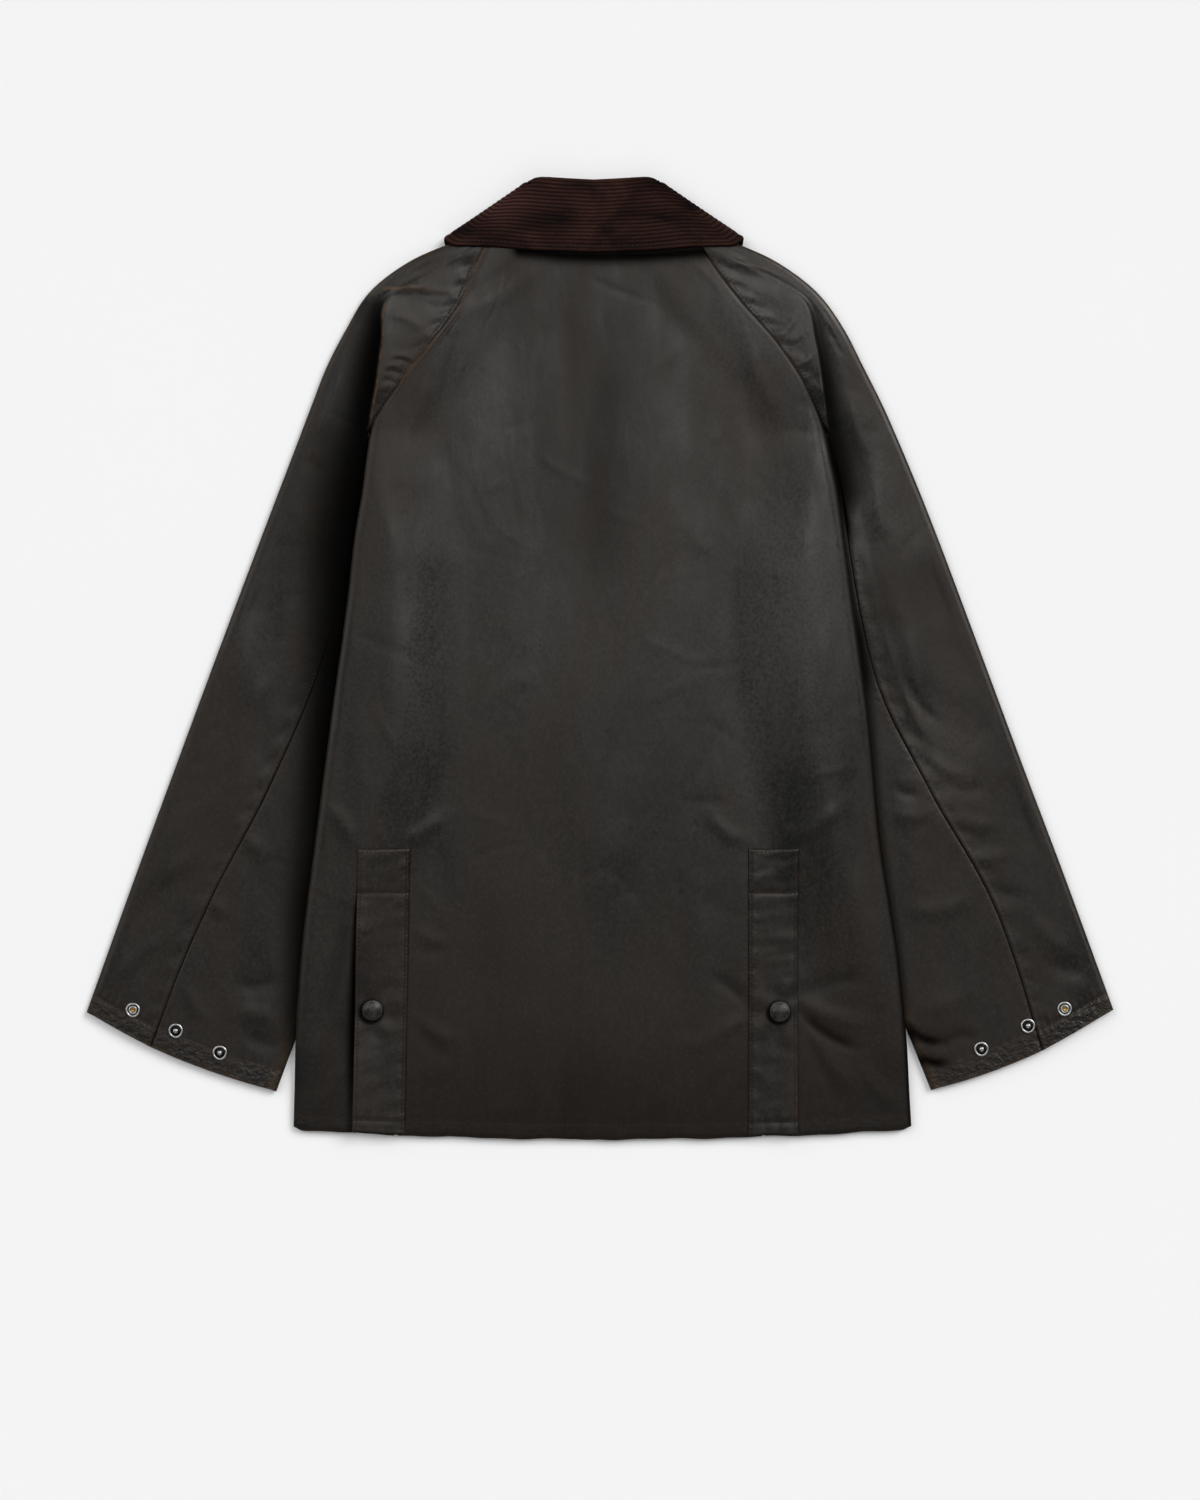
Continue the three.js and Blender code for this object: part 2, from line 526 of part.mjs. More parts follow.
// A sleeve's lines in plan. Above the underarm its seams are the raglan seams, back and front.
function sleevePlace(side, v, name) {
  if (name === "outer") {
    return new THREE.Vector2(read(OUTER_FOLD[side], "v", v, "x"), read(OUTER_FOLD[side], "v", v, "y"));
  }
  const lines = SLEEVE_LINES[side];
  if (v <= 1) return new THREE.Vector2(read(lines, "v", v, name + "X"), read(lines, "v", v, name + "Y"));
  const away = (side === "left" ? -1 : 1) * RAGLAN_GAP;
  if (name === "low") {
    const y = mix(UNDERARM_Y, FRONT_RAGLAN.at(-1).y, v - 1);
    return new THREE.Vector2(read(FRONT_RAGLAN, "y", y, side) + away, y);
  }
  const y = mix(UNDERARM_Y, NECK_Y, v - 1);
  return new THREE.Vector2(body(y, side) + away, y);
}
const sleeveHeight = (v, column) => read(column in SLEEVE_TOP[0] ? SLEEVE_TOP : SLEEVE_UNDER, "v", v, column);

// The sleeve is pressed flat where the body lies on it.
function pressed(side, x, y, z) {
  if (y > UNDERARM_Y || y < -345) return z;
  const outside = Math.abs(x) - Math.abs(body(y, side));
  return mix(Math.min(z, UNDER_BODY), z, ease((outside + 1) / 30));
}

// The cuff's edge swings out between its corners, by share across from corner to corner.
function cuffSwing(v, share) {
  return CUFF_BOW * 4 * share * (1 - share) * ease(1 - v / 0.1);
}

// Height of a sleeve's lower cloth, which the collar's side lifts at the neck.
function sleeveFloor(v, x, y, towardsSeam) {
  const share = clamp(towardsSeam);
  const neck = NECK_LIFT * ease((v - 1.6) / 0.4) * (1 - share);
  return collarLift(x, y) + neck + sleeveHeight(v, "low") * share ** 2;
}

const at = (plan, z) => new THREE.Vector3(plan.x, plan.y, z);

// Across the top of the outer sleeve, from its seam (0) to where the outer fold starts (1).
function sleeveTop(side, v, share) {
  const [seam, outer] = [sleevePlace(side, v, "seam"), sleevePlace(side, v, "outer")];
  const length = seam.distanceTo(outer);
  const place = seam.clone().lerp(outer, share * (1 - SLEEVE_ROLL / length));
  const half = BROW_HALF_WIDTH / length;
  const fold = sleeveHeight(v, "fold");
  const [brow, valley] = [sleeveHeight(v, "brow"), sleeveHeight(v, "valley")];
  const seamZ = v >= 1 ? backEdgeHeight(side, seam.y) : sleeveHeight(v, "seam");
  let z;
  if (share < fold - half) {
    z = mix(seamZ, brow, share / (fold - half));
  } else if (share < fold + half) {
    z = mix(brow, valley, ease((share - fold + half) / (2 * half)));
  } else {
    const rest = (share - fold - half) / (1 - fold - half);
    const near = sleeveHeight(v, "near");
    const bulge = sleeveHeight(v, "crown") - (valley + near) / 2;
    z = mix(valley, near, rest) + bulge * 4 * rest * (1 - rest);
  }
  const creases = foldHeight(place.x, place.y) * ease(4 * share) * ease(4 * (1 - share)) * (v < 1.5 ? 1 : 0);
  place.y -= cuffSwing(v, 0.3 * (1 - share));
  return at(place, pressed(side, place.x, place.y, z + creases));
}

function sleeveShares(v, length) {
  const fold = sleeveHeight(v, "fold");
  const half = BROW_HALF_WIDTH / length;
  return [...steps(0, fold - half, 3), fold, ...steps(fold + half, 1, 5)];
}

function outerSleeveRow(side, v) {
  const [seam, outer] = [sleevePlace(side, v, "seam"), sleevePlace(side, v, "outer")];
  const low = sleevePlace(side, v, "low");
  const length = seam.distanceTo(outer);
  const top = sleeveShares(v, length).map((share) => sleeveTop(side, v, share));
  const near = top.at(-1).z;
  const equator = sleeveHeight(v, "equator");
  const towards = seam.clone().sub(outer).normalize();
  const under = low.clone().sub(outer).normalize();
  const turn = [60, 30, 0].map((degrees) => {
    const place = outer.clone().addScaledVector(towards, SLEEVE_ROLL * (1 - Math.cos(radians(degrees))));
    return at(place, mix(equator, near, Math.sin(radians(degrees))));
  });
  const back = [45, 90].map((degrees) => {
    const place = outer.clone().addScaledVector(under, SLEEVE_ROLL * (1 - Math.cos(radians(degrees))));
    return at(place, mix(equator, sleeveFloor(v, place.x, place.y, 0), Math.sin(radians(degrees))));
  });
  const start = outer.clone().addScaledVector(under, SLEEVE_ROLL);
  const floor = steps(0, 1, 4).slice(1).map((share) => {
    const place = start.clone().lerp(low, share);
    const z = sleeveFloor(v, place.x, place.y, (share - 0.4) / 0.6);
    place.y -= cuffSwing(v, 0.5 * share);
    return at(place, z);
  });
  return [...top, ...turn, ...back, ...floor];
}

const SLEEVE_LEVELS = [0, 0.025, ...steps(0.07, 0.85, 9), 0.9, 0.95, ...steps(1, 2, RAGLAN_STEPS)];

function outerSleeve(side) {
  const rows = SLEEVE_LEVELS.map((v) => outerSleeveRow(side, v));
  const thickness = hemmed((i) => i < 2, (j) => j > 9 && j < 15);
  return clothWall(rows, thickness, side === "left" ? -1 : 1);
}

// The undersleeve, from the visible seam round the hidden fold to the seam underneath.
function underSleeveRow(side, v) {
  const inner = sleevePlace(side, v, "inner");
  const seam = sleevePlace(side, v, "seam");
  const low = sleevePlace(side, v, "low");
  const gap = SEAM_GAP + 0.1;
  const start = seam.clone().addScaledVector(inner.clone().sub(seam).normalize(), gap);
  const end = low.clone().addScaledVector(inner.clone().sub(low).normalize(), gap);
  const outwards = seam.clone().sub(inner).normalize();
  const roll = Math.min(INNER_ROLL, 0.45 * seam.distanceTo(inner));
  const [seamZ, near] = [sleeveHeight(v, "seam"), sleeveHeight(v, "innerNear")];
  const top = steps(0, 1, 5).map((share) => {
    const place = start.clone().lerp(inner.clone().addScaledVector(outwards, roll), share);
    const folded = foldHeight(place.x, place.y) * ease(4 * share) * ease(4 - 4 * share);
    const rise = mix(seamZ, near, share ** 1.3) + folded;
    place.y -= cuffSwing(v, mix(0.3, 1, share));
    return at(place, pressed(side, place.x, place.y, rise));
  });
  const equator = sleeveHeight(v, "innerEquator");
  const turn = [45, 0, -45, -90].map((degrees) => {
    const place = inner.clone().addScaledVector(outwards, roll * (1 - Math.cos(radians(degrees))));
    const target = degrees > 0 ? top.at(-1).z : 0;
    return at(place, mix(equator, target, Math.abs(Math.sin(radians(degrees)))));
  });
  const floorStart = inner.clone().addScaledVector(outwards, roll);
  const floor = steps(0, 1, 2).slice(1).map((share) => {
    const place = floorStart.clone().lerp(end, share);
    const z = sleeveHeight(v, "low") * share ** 2;
    place.y -= cuffSwing(v, mix(1, 0.5, share));
    return at(place, z);
  });
  return [...top, ...turn, ...floor];
}

function underSleeve(side) {
  const levels = SLEEVE_LEVELS.filter((v) => v < UNDERSLEEVE_END);
  const rows = levels.map((v) => underSleeveRow(side, v));
  const thickness = hemmed((i) => i < 2, (j) => j > 4 && j < 10);
  return clothWall(rows, thickness, side === "left" ? 1 : -1);
}

// Vent flaps lie on the back panel, and follow its top.
function ventLift(vent, x, y) {
  const out = clamp((x - vent.innerX) / (vent.outerX - vent.innerX));
  const belowBox = ease((VENT_BOX_Y - y) / 40);
  const pinned = 1 - Math.exp(-(((y - vent.studY) / 26) ** 2));
  const mouth = mix(0.55, 1, ease((vent.studY - y) / 90));
  return vent.opening * out ** 2 * belowBox * pinned * mouth;
}

function ventTop(vent, x, y) {
  return backTop(x, y) + VENT_GAP + VENT_CLOTH + ventLift(vent, x, y);
}

function ventFlap(vent) {
  const below = SIDE_LEVELS.filter((y) => y < VENT_BOX_Y && y > HEM_Y).toReversed();
  const levels = [VENT_TOP_Y, (VENT_TOP_Y + VENT_BOX_Y) / 2, VENT_BOX_Y];
  [...below, HEM_Y - 1].forEach((y) => levels.push((levels.at(-1) + y) / 2, y));
  const [left, right] = [Math.min(vent.innerX, vent.outerX), Math.max(vent.innerX, vent.outerX)];
  const row = (y, thickness) => steps(left, right, 6).map((x) => {
    const middle = (body(y, "left") + body(y, "right")) / 2;
    const u = (x - middle) / (body(y, "right") - middle);
    return new THREE.Vector3(x, y - hemDrop(y, u), ventTop(vent, x, y) - thickness);
  });
  return shellBetween(levels.map((y) => row(y, 0)), levels.map((y) => row(y, VENT_CLOTH)));
}

const ring = (profile) => {
  const points = profile.map(([r, z]) => new THREE.Vector2(r, z));
  return new THREE.LatheGeometry(points, LATHE_SEGMENTS);
};

// A stud's domed cap, turned about its own axis, with a rolled edge.
function capShape() {
  const rim = CAP_RADIUS - 0.5;
  return ring([
    [0, 0],
    [rim, 0],
    [CAP_RADIUS, 0.8],
    [rim, 1.7],
    [0.72 * CAP_RADIUS, 2.7],
    [0.35 * CAP_RADIUS, CAP_HEIGHT - 0.15],
    [0, CAP_HEIGHT],
  ]);
}

// A snap's lower parts: a socket has a hole to take the stud, and a stud a round nipple.
function snapShape(kind) {
  const dish = [
    [0, 0],
    [SNAP_RADIUS - 0.4, 0],
    [SNAP_RADIUS, 0.6],
    [SNAP_RADIUS - 0.6, 1.3],
    [SNAP_RADIUS - 1.8, 1.3],
  ];
  if (kind === "socket") return ring([...dish, [2.4, 1.9], [1.7, 1.9], [1.5, 0.5], [0, 0.5]]);
  return ring([...dish, [3.4, 0.8], [1.9, 0.8], [1.6, 1.8], [2.0, 2.5], [1.2, 3.1], [0, 3.2]]);
}

// Sets a turned piece on a surface given as a height, square to it and just clear of it.
function seatOn(mesh, x, y, radius, height) {
  const z = (dx, dy) => height(x + dx * radius, y + dy * radius);
  const normal = new THREE.Vector3(z(-1, 0) - z(1, 0), z(0, -1) - z(0, 1), 2 * radius).normalize();
  const proud = Array.from({ length: 16 }, (_, n) => {
    const angle = (n * Math.PI) / 8;
    const [dx, dy] = [Math.cos(angle), Math.sin(angle)];
    return z(dx, dy) + (normal.x * dx * radius + normal.y * dy * radius) / normal.z;
  });
  const lift = Math.max(z(0, 0), ...proud) + STUD_GAP;
  mesh.geometry.rotateX(Math.PI / 2);
  mesh.quaternion.setFromUnitVectors(new THREE.Vector3(0, 0, 1), normal);
  mesh.position.set(x, y, lift);
}

// Height of a sleeve's upper cloth at a point of the plan near the cuff.
function cuffSurface(side) {
  const points = steps(0, 0.24, 12).flatMap((v) => [
    ...steps(0, 1, 12).map((share) => sleeveTop(side, v, share)),
    ...underSleeveRow(side, v).slice(0, 6),
  ]);
  return (x, y) => {
    const near = points
      .map((p) => ({ z: p.z, away: Math.hypot(p.x - x, p.y - y) + 0.5 }))
      .sort((a, b) => a.away - b.away)
      .slice(0, 6);
    const weight = near.reduce((sum, n) => sum + n.away ** -2, 0);
    return near.reduce((sum, n) => sum + n.z * n.away ** -2, 0) / weight;
  };
}

// Around the collar, from one front end to the other, with the way each place faces.
function collarStations() {
  const half = (sign) => COLLAR.map((row) => {
    const slant = new THREE.Vector2(row.rollY - row.edgeY, row.edgeX - row.rollX).normalize();
    const angle = mix(-Math.PI / 2, Math.PI / 2, row.turn);
    const level = mix(COLLAR_FRONT_Z, COLLAR_BACK_Z, (1 + Math.sin(angle)) / 2);
    const out = COLLAR_BULGE * Math.cos(angle);
    const place = (x, y) => new THREE.Vector3(
      COLLAR_X + sign * (x + slant.x * out),
      y + slant.y * out,
      level,
    );
    const facing = new THREE.Vector3(
      sign * slant.x * Math.cos(angle),
      slant.y * Math.cos(angle),
      Math.sin(angle),
    );
    return {
      roll: place(row.rollX, row.rollY),
      edge: place(row.edgeX, row.edgeY),
      neck: place(row.neckX, row.neckY),
      facing,
    };
  });
  return [...half(-1), ...half(1).reverse().slice(1)];
}

const FALL_ROLL_ANGLES = [-50, -10, 30, 60].map(radians);

// A body through loops of points, each loop round a cross-section, closed at both ends.
function loopBody(loops, flatten) {
  const count = loops[0].length;
  const faces = [];
  for (let i = 0; i < loops.length - 1; i++) {
    for (let j = 0; j < count; j++) {
      const [a, b] = [i * count + j, i * count + ((j + 1) % count)];
      faces.push(a, b, b + count, a, b + count, a + count);
    }
  }
  const cap = (loop, first, reversed) => {
    const flip = THREE.ShapeUtils.isClockWise(loop) !== reversed;
    for (const [a, b, c] of THREE.ShapeUtils.triangulateShape(loop, [])) {
      faces.push(first + a, first + (flip ? c : b), first + (flip ? b : c));
    }
  };
  cap(flatten(0), 0, true);
  cap(flatten(loops.length - 1), (loops.length - 1) * count, false);
  return facingOut(loops.flat().flatMap((p) => [p.x, p.y, p.z]), faces);
}

// The fall: it rolls over the stand's top edge, and its wales run round the neck.
function collarFall() {
  const sections = [];
  const loops = collarStations().map(({ roll, edge, facing }) => {
    const down = edge.clone().sub(roll);
    const length = down.length();
    down.normalize();
    const rolled = (radius) => FALL_ROLL_ANGLES.map((angle) =>
      new THREE.Vector2(ROLL_RADIUS - radius * Math.cos(angle), radius * Math.sin(angle)));
    const inside = ROLL_RADIUS - CORDUROY;
    const drops = steps(ROLL_RADIUS, length, 2 * WALES);
    const wale = (n) => (n % 2 ? WALE_HEIGHT : 0);
    const outer = drops.map((drop, n) => new THREE.Vector2(drop, ROLL_RADIUS - WALE_HEIGHT + wale(n)));
    const inner = steps(length, ROLL_RADIUS, 2).map((drop) => new THREE.Vector2(drop, inside));
    const section = [...rolled(ROLL_RADIUS), ...outer, ...inner, ...rolled(inside).reverse()];
    sections.push(section);
    return section.map((p) => roll.clone().addScaledVector(down, p.x).addScaledVector(facing, p.y));
  });
  return loopBody(loops, (n) => sections[n]);
}

// The stand: from the neck seam up to just inside the roll.
function collarStand() {
  const rows = collarStations().map(({ roll, edge, neck, facing }) => {
    const down = edge.clone().sub(roll).normalize();
    const top = roll.clone().addScaledVector(down, ROLL_RADIUS + 1);
    const at = (share, proud) => neck.clone().lerp(top, share).addScaledVector(facing, proud);
    return {
      outer: steps(0, 1, 3).map((share) => at(share, CLOTH / 2)),
      inner: steps(0, 1, 3).map((share) => at(share, -CLOTH / 2)),
    };
  });
  return shellBetween(rows.map((row) => row.outer), rows.map((row) => row.inner));
}

piece("back_panel", backPanel(), WAXED);
piece("front_fly", frontFly(), WAXED);
for (const side of ["left", "right"]) {
  piece("front_" + side, frontPanel(side), WAXED);
  piece("sleeve_" + side, outerSleeve(side), WAXED);
  piece("undersleeve_" + side, underSleeve(side), WAXED);
}
piece("collar_stand", collarStand(), WAXED);
piece("collar_fall", collarFall(), CORD);

for (const vent of VENTS) {
  piece("vent_flap_" + vent.side, ventFlap(vent), WAXED);
  const cap = piece("vent_stud_" + vent.side, capShape(), GUNMETAL);
  seatOn(cap, vent.studX, vent.studY, CAP_RADIUS, (x, y) => ventTop(vent, x, y));
}

const cuffs = { left: cuffSurface("left"), right: cuffSurface("right") };
for (const snap of CUFF_SNAPS) {
  const side = snap.x < 0 ? "left" : "right";
  seatOn(piece(snap.name, snapShape(snap.kind), STEEL), snap.x, snap.y, SNAP_RADIUS, cuffs[side]);
}

export default jacket;
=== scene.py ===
# %% [markdown]
# A waxed cotton jacket, laid face down
#
# The jacket lies on a pale surface with its back uppermost. This scene makes its cloth as thin
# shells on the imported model's own forms: the same tables give each seam and height, and finer
# grids carry the creases, the seams' ridges and the corduroy's wales.
# Sizes are in millimetres until a mesh is made, and in metres after that.

import math

import bmesh
import bpy
import numpy as np
from mathutils import Matrix, Vector


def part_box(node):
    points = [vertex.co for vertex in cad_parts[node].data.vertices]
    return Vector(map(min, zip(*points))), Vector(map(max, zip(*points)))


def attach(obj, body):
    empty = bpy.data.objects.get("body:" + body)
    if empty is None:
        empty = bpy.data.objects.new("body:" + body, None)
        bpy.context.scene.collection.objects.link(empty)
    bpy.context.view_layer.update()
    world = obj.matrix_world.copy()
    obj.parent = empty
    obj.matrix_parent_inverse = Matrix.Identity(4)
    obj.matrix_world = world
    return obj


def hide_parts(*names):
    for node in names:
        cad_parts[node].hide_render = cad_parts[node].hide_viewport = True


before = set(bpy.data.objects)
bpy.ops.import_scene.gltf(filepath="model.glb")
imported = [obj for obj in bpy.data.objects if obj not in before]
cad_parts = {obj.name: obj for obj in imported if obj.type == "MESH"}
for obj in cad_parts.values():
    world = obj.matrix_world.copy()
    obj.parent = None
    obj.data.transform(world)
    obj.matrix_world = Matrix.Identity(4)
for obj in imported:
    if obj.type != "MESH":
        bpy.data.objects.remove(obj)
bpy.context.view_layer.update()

# %% [markdown]
# The camera and the lights
#
# The photograph looks straight down. One of its pixels is 0.82 mm, so its 1200 by 1500 frame
# covers 984 by 1230 mm, and the jacket's centre lies 75 mm above the middle of that frame.

# %% Camera
MM = 0.001
FRAME_HEIGHT = 1230 * MM
FRAME_MIDDLE_Y = -75.4 * MM
LENS = 85
SENSOR = 36

camera_data = bpy.data.cameras.new("camera")
camera_data.lens = LENS
camera_data.sensor_width = SENSOR
camera = bpy.data.objects.new("camera", camera_data)
camera.location = (0, FRAME_MIDDLE_Y, FRAME_HEIGHT / 2 * LENS / (SENSOR / 2))
bpy.context.collection.objects.link(camera)
bpy.context.scene.camera = camera
bpy.context.scene.view_settings.view_transform = "Standard"
print("camera", round(camera.location.z, 3), "m above the surface")


# %% Lights
def soft_sun(name, toward, softness, power):
    """A distant soft light. It lies in the direction toward, and lights the floor evenly."""
    data = bpy.data.lights.new(name, "SUN")
    data.angle = math.radians(softness)
    data.energy = power
    lamp = bpy.data.objects.new(name, data)
    lamp.rotation_euler = Vector(toward).to_track_quat("Z", "Y").to_euler()
    lamp.location = Vector(toward).normalized() * 3
    bpy.context.collection.objects.link(lamp)
    return lamp


soft_sun("overhead_light", (0.05, 0.22, 1), 18, 0.45)
soft_sun("key_light", (0.8, 0.65, 1.0), 34, 1.9)
soft_sun("side_light", (-0.8, 0.5, 0.9), 50, 1.1)
soft_sun("low_light", (0.1, -1.0, 1.0), 50, 0.35)

world = bpy.data.worlds.new("studio")
world.use_nodes = True
world.node_tree.nodes["Background"].inputs["Color"].default_value = (1, 1, 1, 1)
world.node_tree.nodes["Background"].inputs["Strength"].default_value = 0.12
bpy.context.scene.world = world
print("four soft lights and an even sky")

# %% [markdown]
# Materials
#
# Waxed cotton is a dark brown cloth under a thin, uneven film of wax. The film catches the light
# as a cool grey sheen, and where the cloth has been bent it cracks to a light orange brown. Values
# at the cloth's points add painted sheen and painted shade. The corduroy is a dark red brown pile.
# Patterns are sized in millimetres through the object's own coordinates, which are metres.


# %% Node helpers
def linear(code):
    """An sRGB hex colour as the linear values that a shader takes."""
    parts = [int(code[n : n + 2], 16) / 255 for n in (1, 3, 5)]
    return [c / 12.92 if c <= 0.04045 else ((c + 0.055) / 1.055) ** 2.4 for c in parts] + [1.0]


def add(tree, kind, inputs=None, **settings):
    """A node with its settings, and its inputs given as values or as other nodes' outputs."""
    node = tree.nodes.new("ShaderNode" + kind)
    for key, value in settings.items():
        setattr(node, key, value)
    for key, value in (inputs or {}).items():
        if isinstance(value, bpy.types.NodeSocket):
            tree.links.new(value, node.inputs[key])
        else:
            node.inputs[key].default_value = value
    return node


def new_material(name):
    """A material with its node tree and its Principled shader."""
    material = bpy.data.materials.new(name)
    material.use_nodes = True
    return material, material.node_tree, material.node_tree.nodes["Principled BSDF"]


def noise(tree, size_mm, stretch=(1, 1, 1), detail=2.0, roughness=0.5, distortion=0.0):
    """Noise whose blotches are about size_mm across, drawn out by stretch."""
    place = add(tree, "TexCoord").outputs["Object"]
    scale = [1 / s for s in stretch]
    mapped = add(tree, "Mapping", {"Vector": place, "Scale": scale}).outputs["Vector"]
    inputs = {"Vector": mapped, "Scale": 1000 / size_mm, "Detail": detail}
    inputs |= {"Roughness": roughness, "Distortion": distortion}
    return add(tree, "TexNoise", inputs).outputs["Fac"]


def remap(tree, value, low, high, to_low=0.0, to_high=1.0):
    """A value spread from one range to another, and clipped."""
    inputs = {"Value": value, "From Min": low, "From Max": high}
    inputs |= {"To Min": to_low, "To Max": to_high}
    return add(tree, "MapRange", inputs).outputs["Result"]


def math_node(tree, operation, a, b=0.0):
    return add(tree, "Math", {0: a, 1: b}, operation=operation).outputs[0]


def blend_colour(tree, share, a, b, blend_type="MIX"):
    """Two colours, or outputs, mixed by a share."""
    inputs = {"Factor": share, "A": a, "B": b}
    node = add(tree, "Mix", None, data_type="RGBA", blend_type=blend_type)
    for key, value in inputs.items():
        socket = next(s for s in node.inputs if s.name == key and s.enabled)
        if isinstance(value, bpy.types.NodeSocket):
            tree.links.new(value, socket)
        else:
            socket.default_value = value
    return next(s for s in node.outputs if s.enabled)


def attribute(tree, name):
    return add(tree, "Attribute", attribute_name=name).outputs["Fac"]


def bump(tree, height, distance_mm, strength=1.0, normal=None):
    inputs = {"Height": height, "Distance": distance_mm * MM, "Strength": strength}
    if normal is not None:
        inputs["Normal"] = normal
    return add(tree, "Bump", inputs).outputs["Normal"]


print("node helpers ready")


# %% Waxed cotton
# Long blotches down the cloth part warm brown from cool grey, smaller ones break them up, and a
# fine grain stands for the weave. Each piece carries values at its points: wax, where bending has
# cracked the film; edge, the distance in millimetres from a folded edge that is worn brown; seam,
# the distance from a seam or stitch line; gather, where stitching ruffles the cloth; a value of
# painted sheen, which lightens the cloth to a cool grey above zero and is painted shade, darker
# brown, below zero; and shade, painted shade where the cloth lies deep in a fold, under the
# collar, in the left vent's gap, round the stud caps, along the right side's roll, in the armpits
# and towards the hem. There the colour goes black and the metallic value takes the gloss away.
def waxed_cotton():
    material, tree, shader = new_material("waxed_cotton")
    streaks = noise(tree, 58, (1, 4.5, 1), detail=3, distortion=0.2)
    patches = noise(tree, 20, (1, 2.8, 1), detail=4, roughness=0.6, distortion=0.25)
    speckle = noise(tree, 2.6, (1, 1.3, 1), detail=2, roughness=0.75)
    folds = noise(tree, 22, (1, 2.2, 1), detail=3, roughness=0.55, distortion=0.6)
    wide = math_node(tree, "MULTIPLY", streaks, 0.6)
    mood = math_node(tree, "ADD", wide, math_node(tree, "MULTIPLY", patches, 0.4))
    colour = blend_colour(tree, remap(tree, mood, 0.4, 0.6), linear("#160f08"), linear("#0f1010"))
    # Painted sheen: above zero the colour is lightened to a cool grey and made glossier; below zero it is painted
    # shade, a darker brown and rougher.
    painted_sheen_and_shade = attribute(tree, "painted_sheen_and_shade")
    pale = remap(tree, painted_sheen_and_shade, 0, 1, 0, 0.85)
    painted_dark = remap(tree, painted_sheen_and_shade, -1, 0, 0.9, 0)
    colour = blend_colour(tree, pale, colour, linear("#2b2a29"))
    colour = blend_colour(tree, painted_dark, colour, linear("#120b05"))
    grain = remap(tree, speckle, 0.35, 0.65, 0.6, 1.4)
    colour = blend_colour(tree, 1.0, colour, grain, "MULTIPLY")
    lint = math_node(tree, "MULTIPLY", remap(tree, speckle, 0.55, 0.72), 0.3)
    colour = blend_colour(tree, lint, colour, linear("#252625"))

    cracks = noise(tree, 9, (1, 1, 1), detail=5, roughness=0.65)
    edge = remap(tree, attribute(tree, "edge"), 0.5, 1.9, 1, 0)
    worn = math_node(tree, "MAXIMUM", attribute(tree, "wax"), edge)
    worn = math_node(tree, "MULTIPLY", worn, remap(tree, cracks, 0.36, 0.62, 0.05, 0.62))
    colour = blend_colour(tree, worn, colour, linear("#5a4129"))

    seam = attribute(tree, "seam")
    line = math_node(tree, "MULTIPLY", remap(tree, seam, 0.25, 1.0, 1, 0), 0.72)
    colour = blend_colour(tree, line, colour, linear("#050403"))
    beside = math_node(tree, "MULTIPLY", remap(tree, seam, 1.0, 6.0, 1, 0), 0.35)
    colour = blend_colour(tree, beside, colour, linear("#1f130b"))
    shade = attribute(tree, "shade")
    colour = blend_colour(tree, shade, colour, linear("#010101"))
    tree.links.new(colour, shader.inputs["Base Color"])
    tree.links.new(shade, shader.inputs["Metallic"])

    film = remap(tree, mood, 0.39, 0.61, 0.44, 0.29)
    film = math_node(tree, "ADD", film, remap(tree, speckle, 0.3, 0.7, -0.03, 0.03))
    film = math_node(tree, "ADD", film, math_node(tree, "MULTIPLY", shade, 0.6))
    film = math_node(tree, "ADD", film, math_node(tree, "MULTIPLY", painted_dark, 0.26))
    film = math_node(tree, "ADD", film, math_node(tree, "MULTIPLY", pale, -0.07))
    film = math_node(tree, "ADD", film, math_node(tree, "MULTIPLY", line, 0.4))
    film = math_node(tree, "ADD", film, math_node(tree, "MULTIPLY", edge, 0.3))
    tree.links.new(math_node(tree, "MINIMUM", film, 1.0), shader.inputs["Roughness"])
    shader.inputs["Specular IOR Level"].default_value = 0.28
    shader.inputs["Specular Tint"].default_value = (1.0, 0.94, 0.88, 1.0)
    shader.inputs["Sheen Weight"].default_value = 0.01
    shader.inputs["Sheen Roughness"].default_value = 0.5
    shader.inputs["Sheen Tint"].default_value = linear("#8d949c")

    ruffle = remap(tree, noise(tree, 4.4, detail=2), 0.34, 0.66)
    pucker = math_node(tree, "MULTIPLY", ruffle, attribute(tree, "gather"))
    normal = bump(tree, speckle, 0.05, 0.6)
    normal = bump(tree, patches, 0.45, 0.5, normal)
    normal = bump(tree, folds, 0.5, 0.4, normal)
    normal = bump(tree, pucker, 0.8, 0.8, normal)
    normal = bump(tree, remap(tree, seam, 0.0, 1.2), 0.5, 0.8, normal)
    tree.links.new(normal, shader.inputs["Normal"])
    return material


WAXED = waxed_cotton()
print("material", WAXED.name)


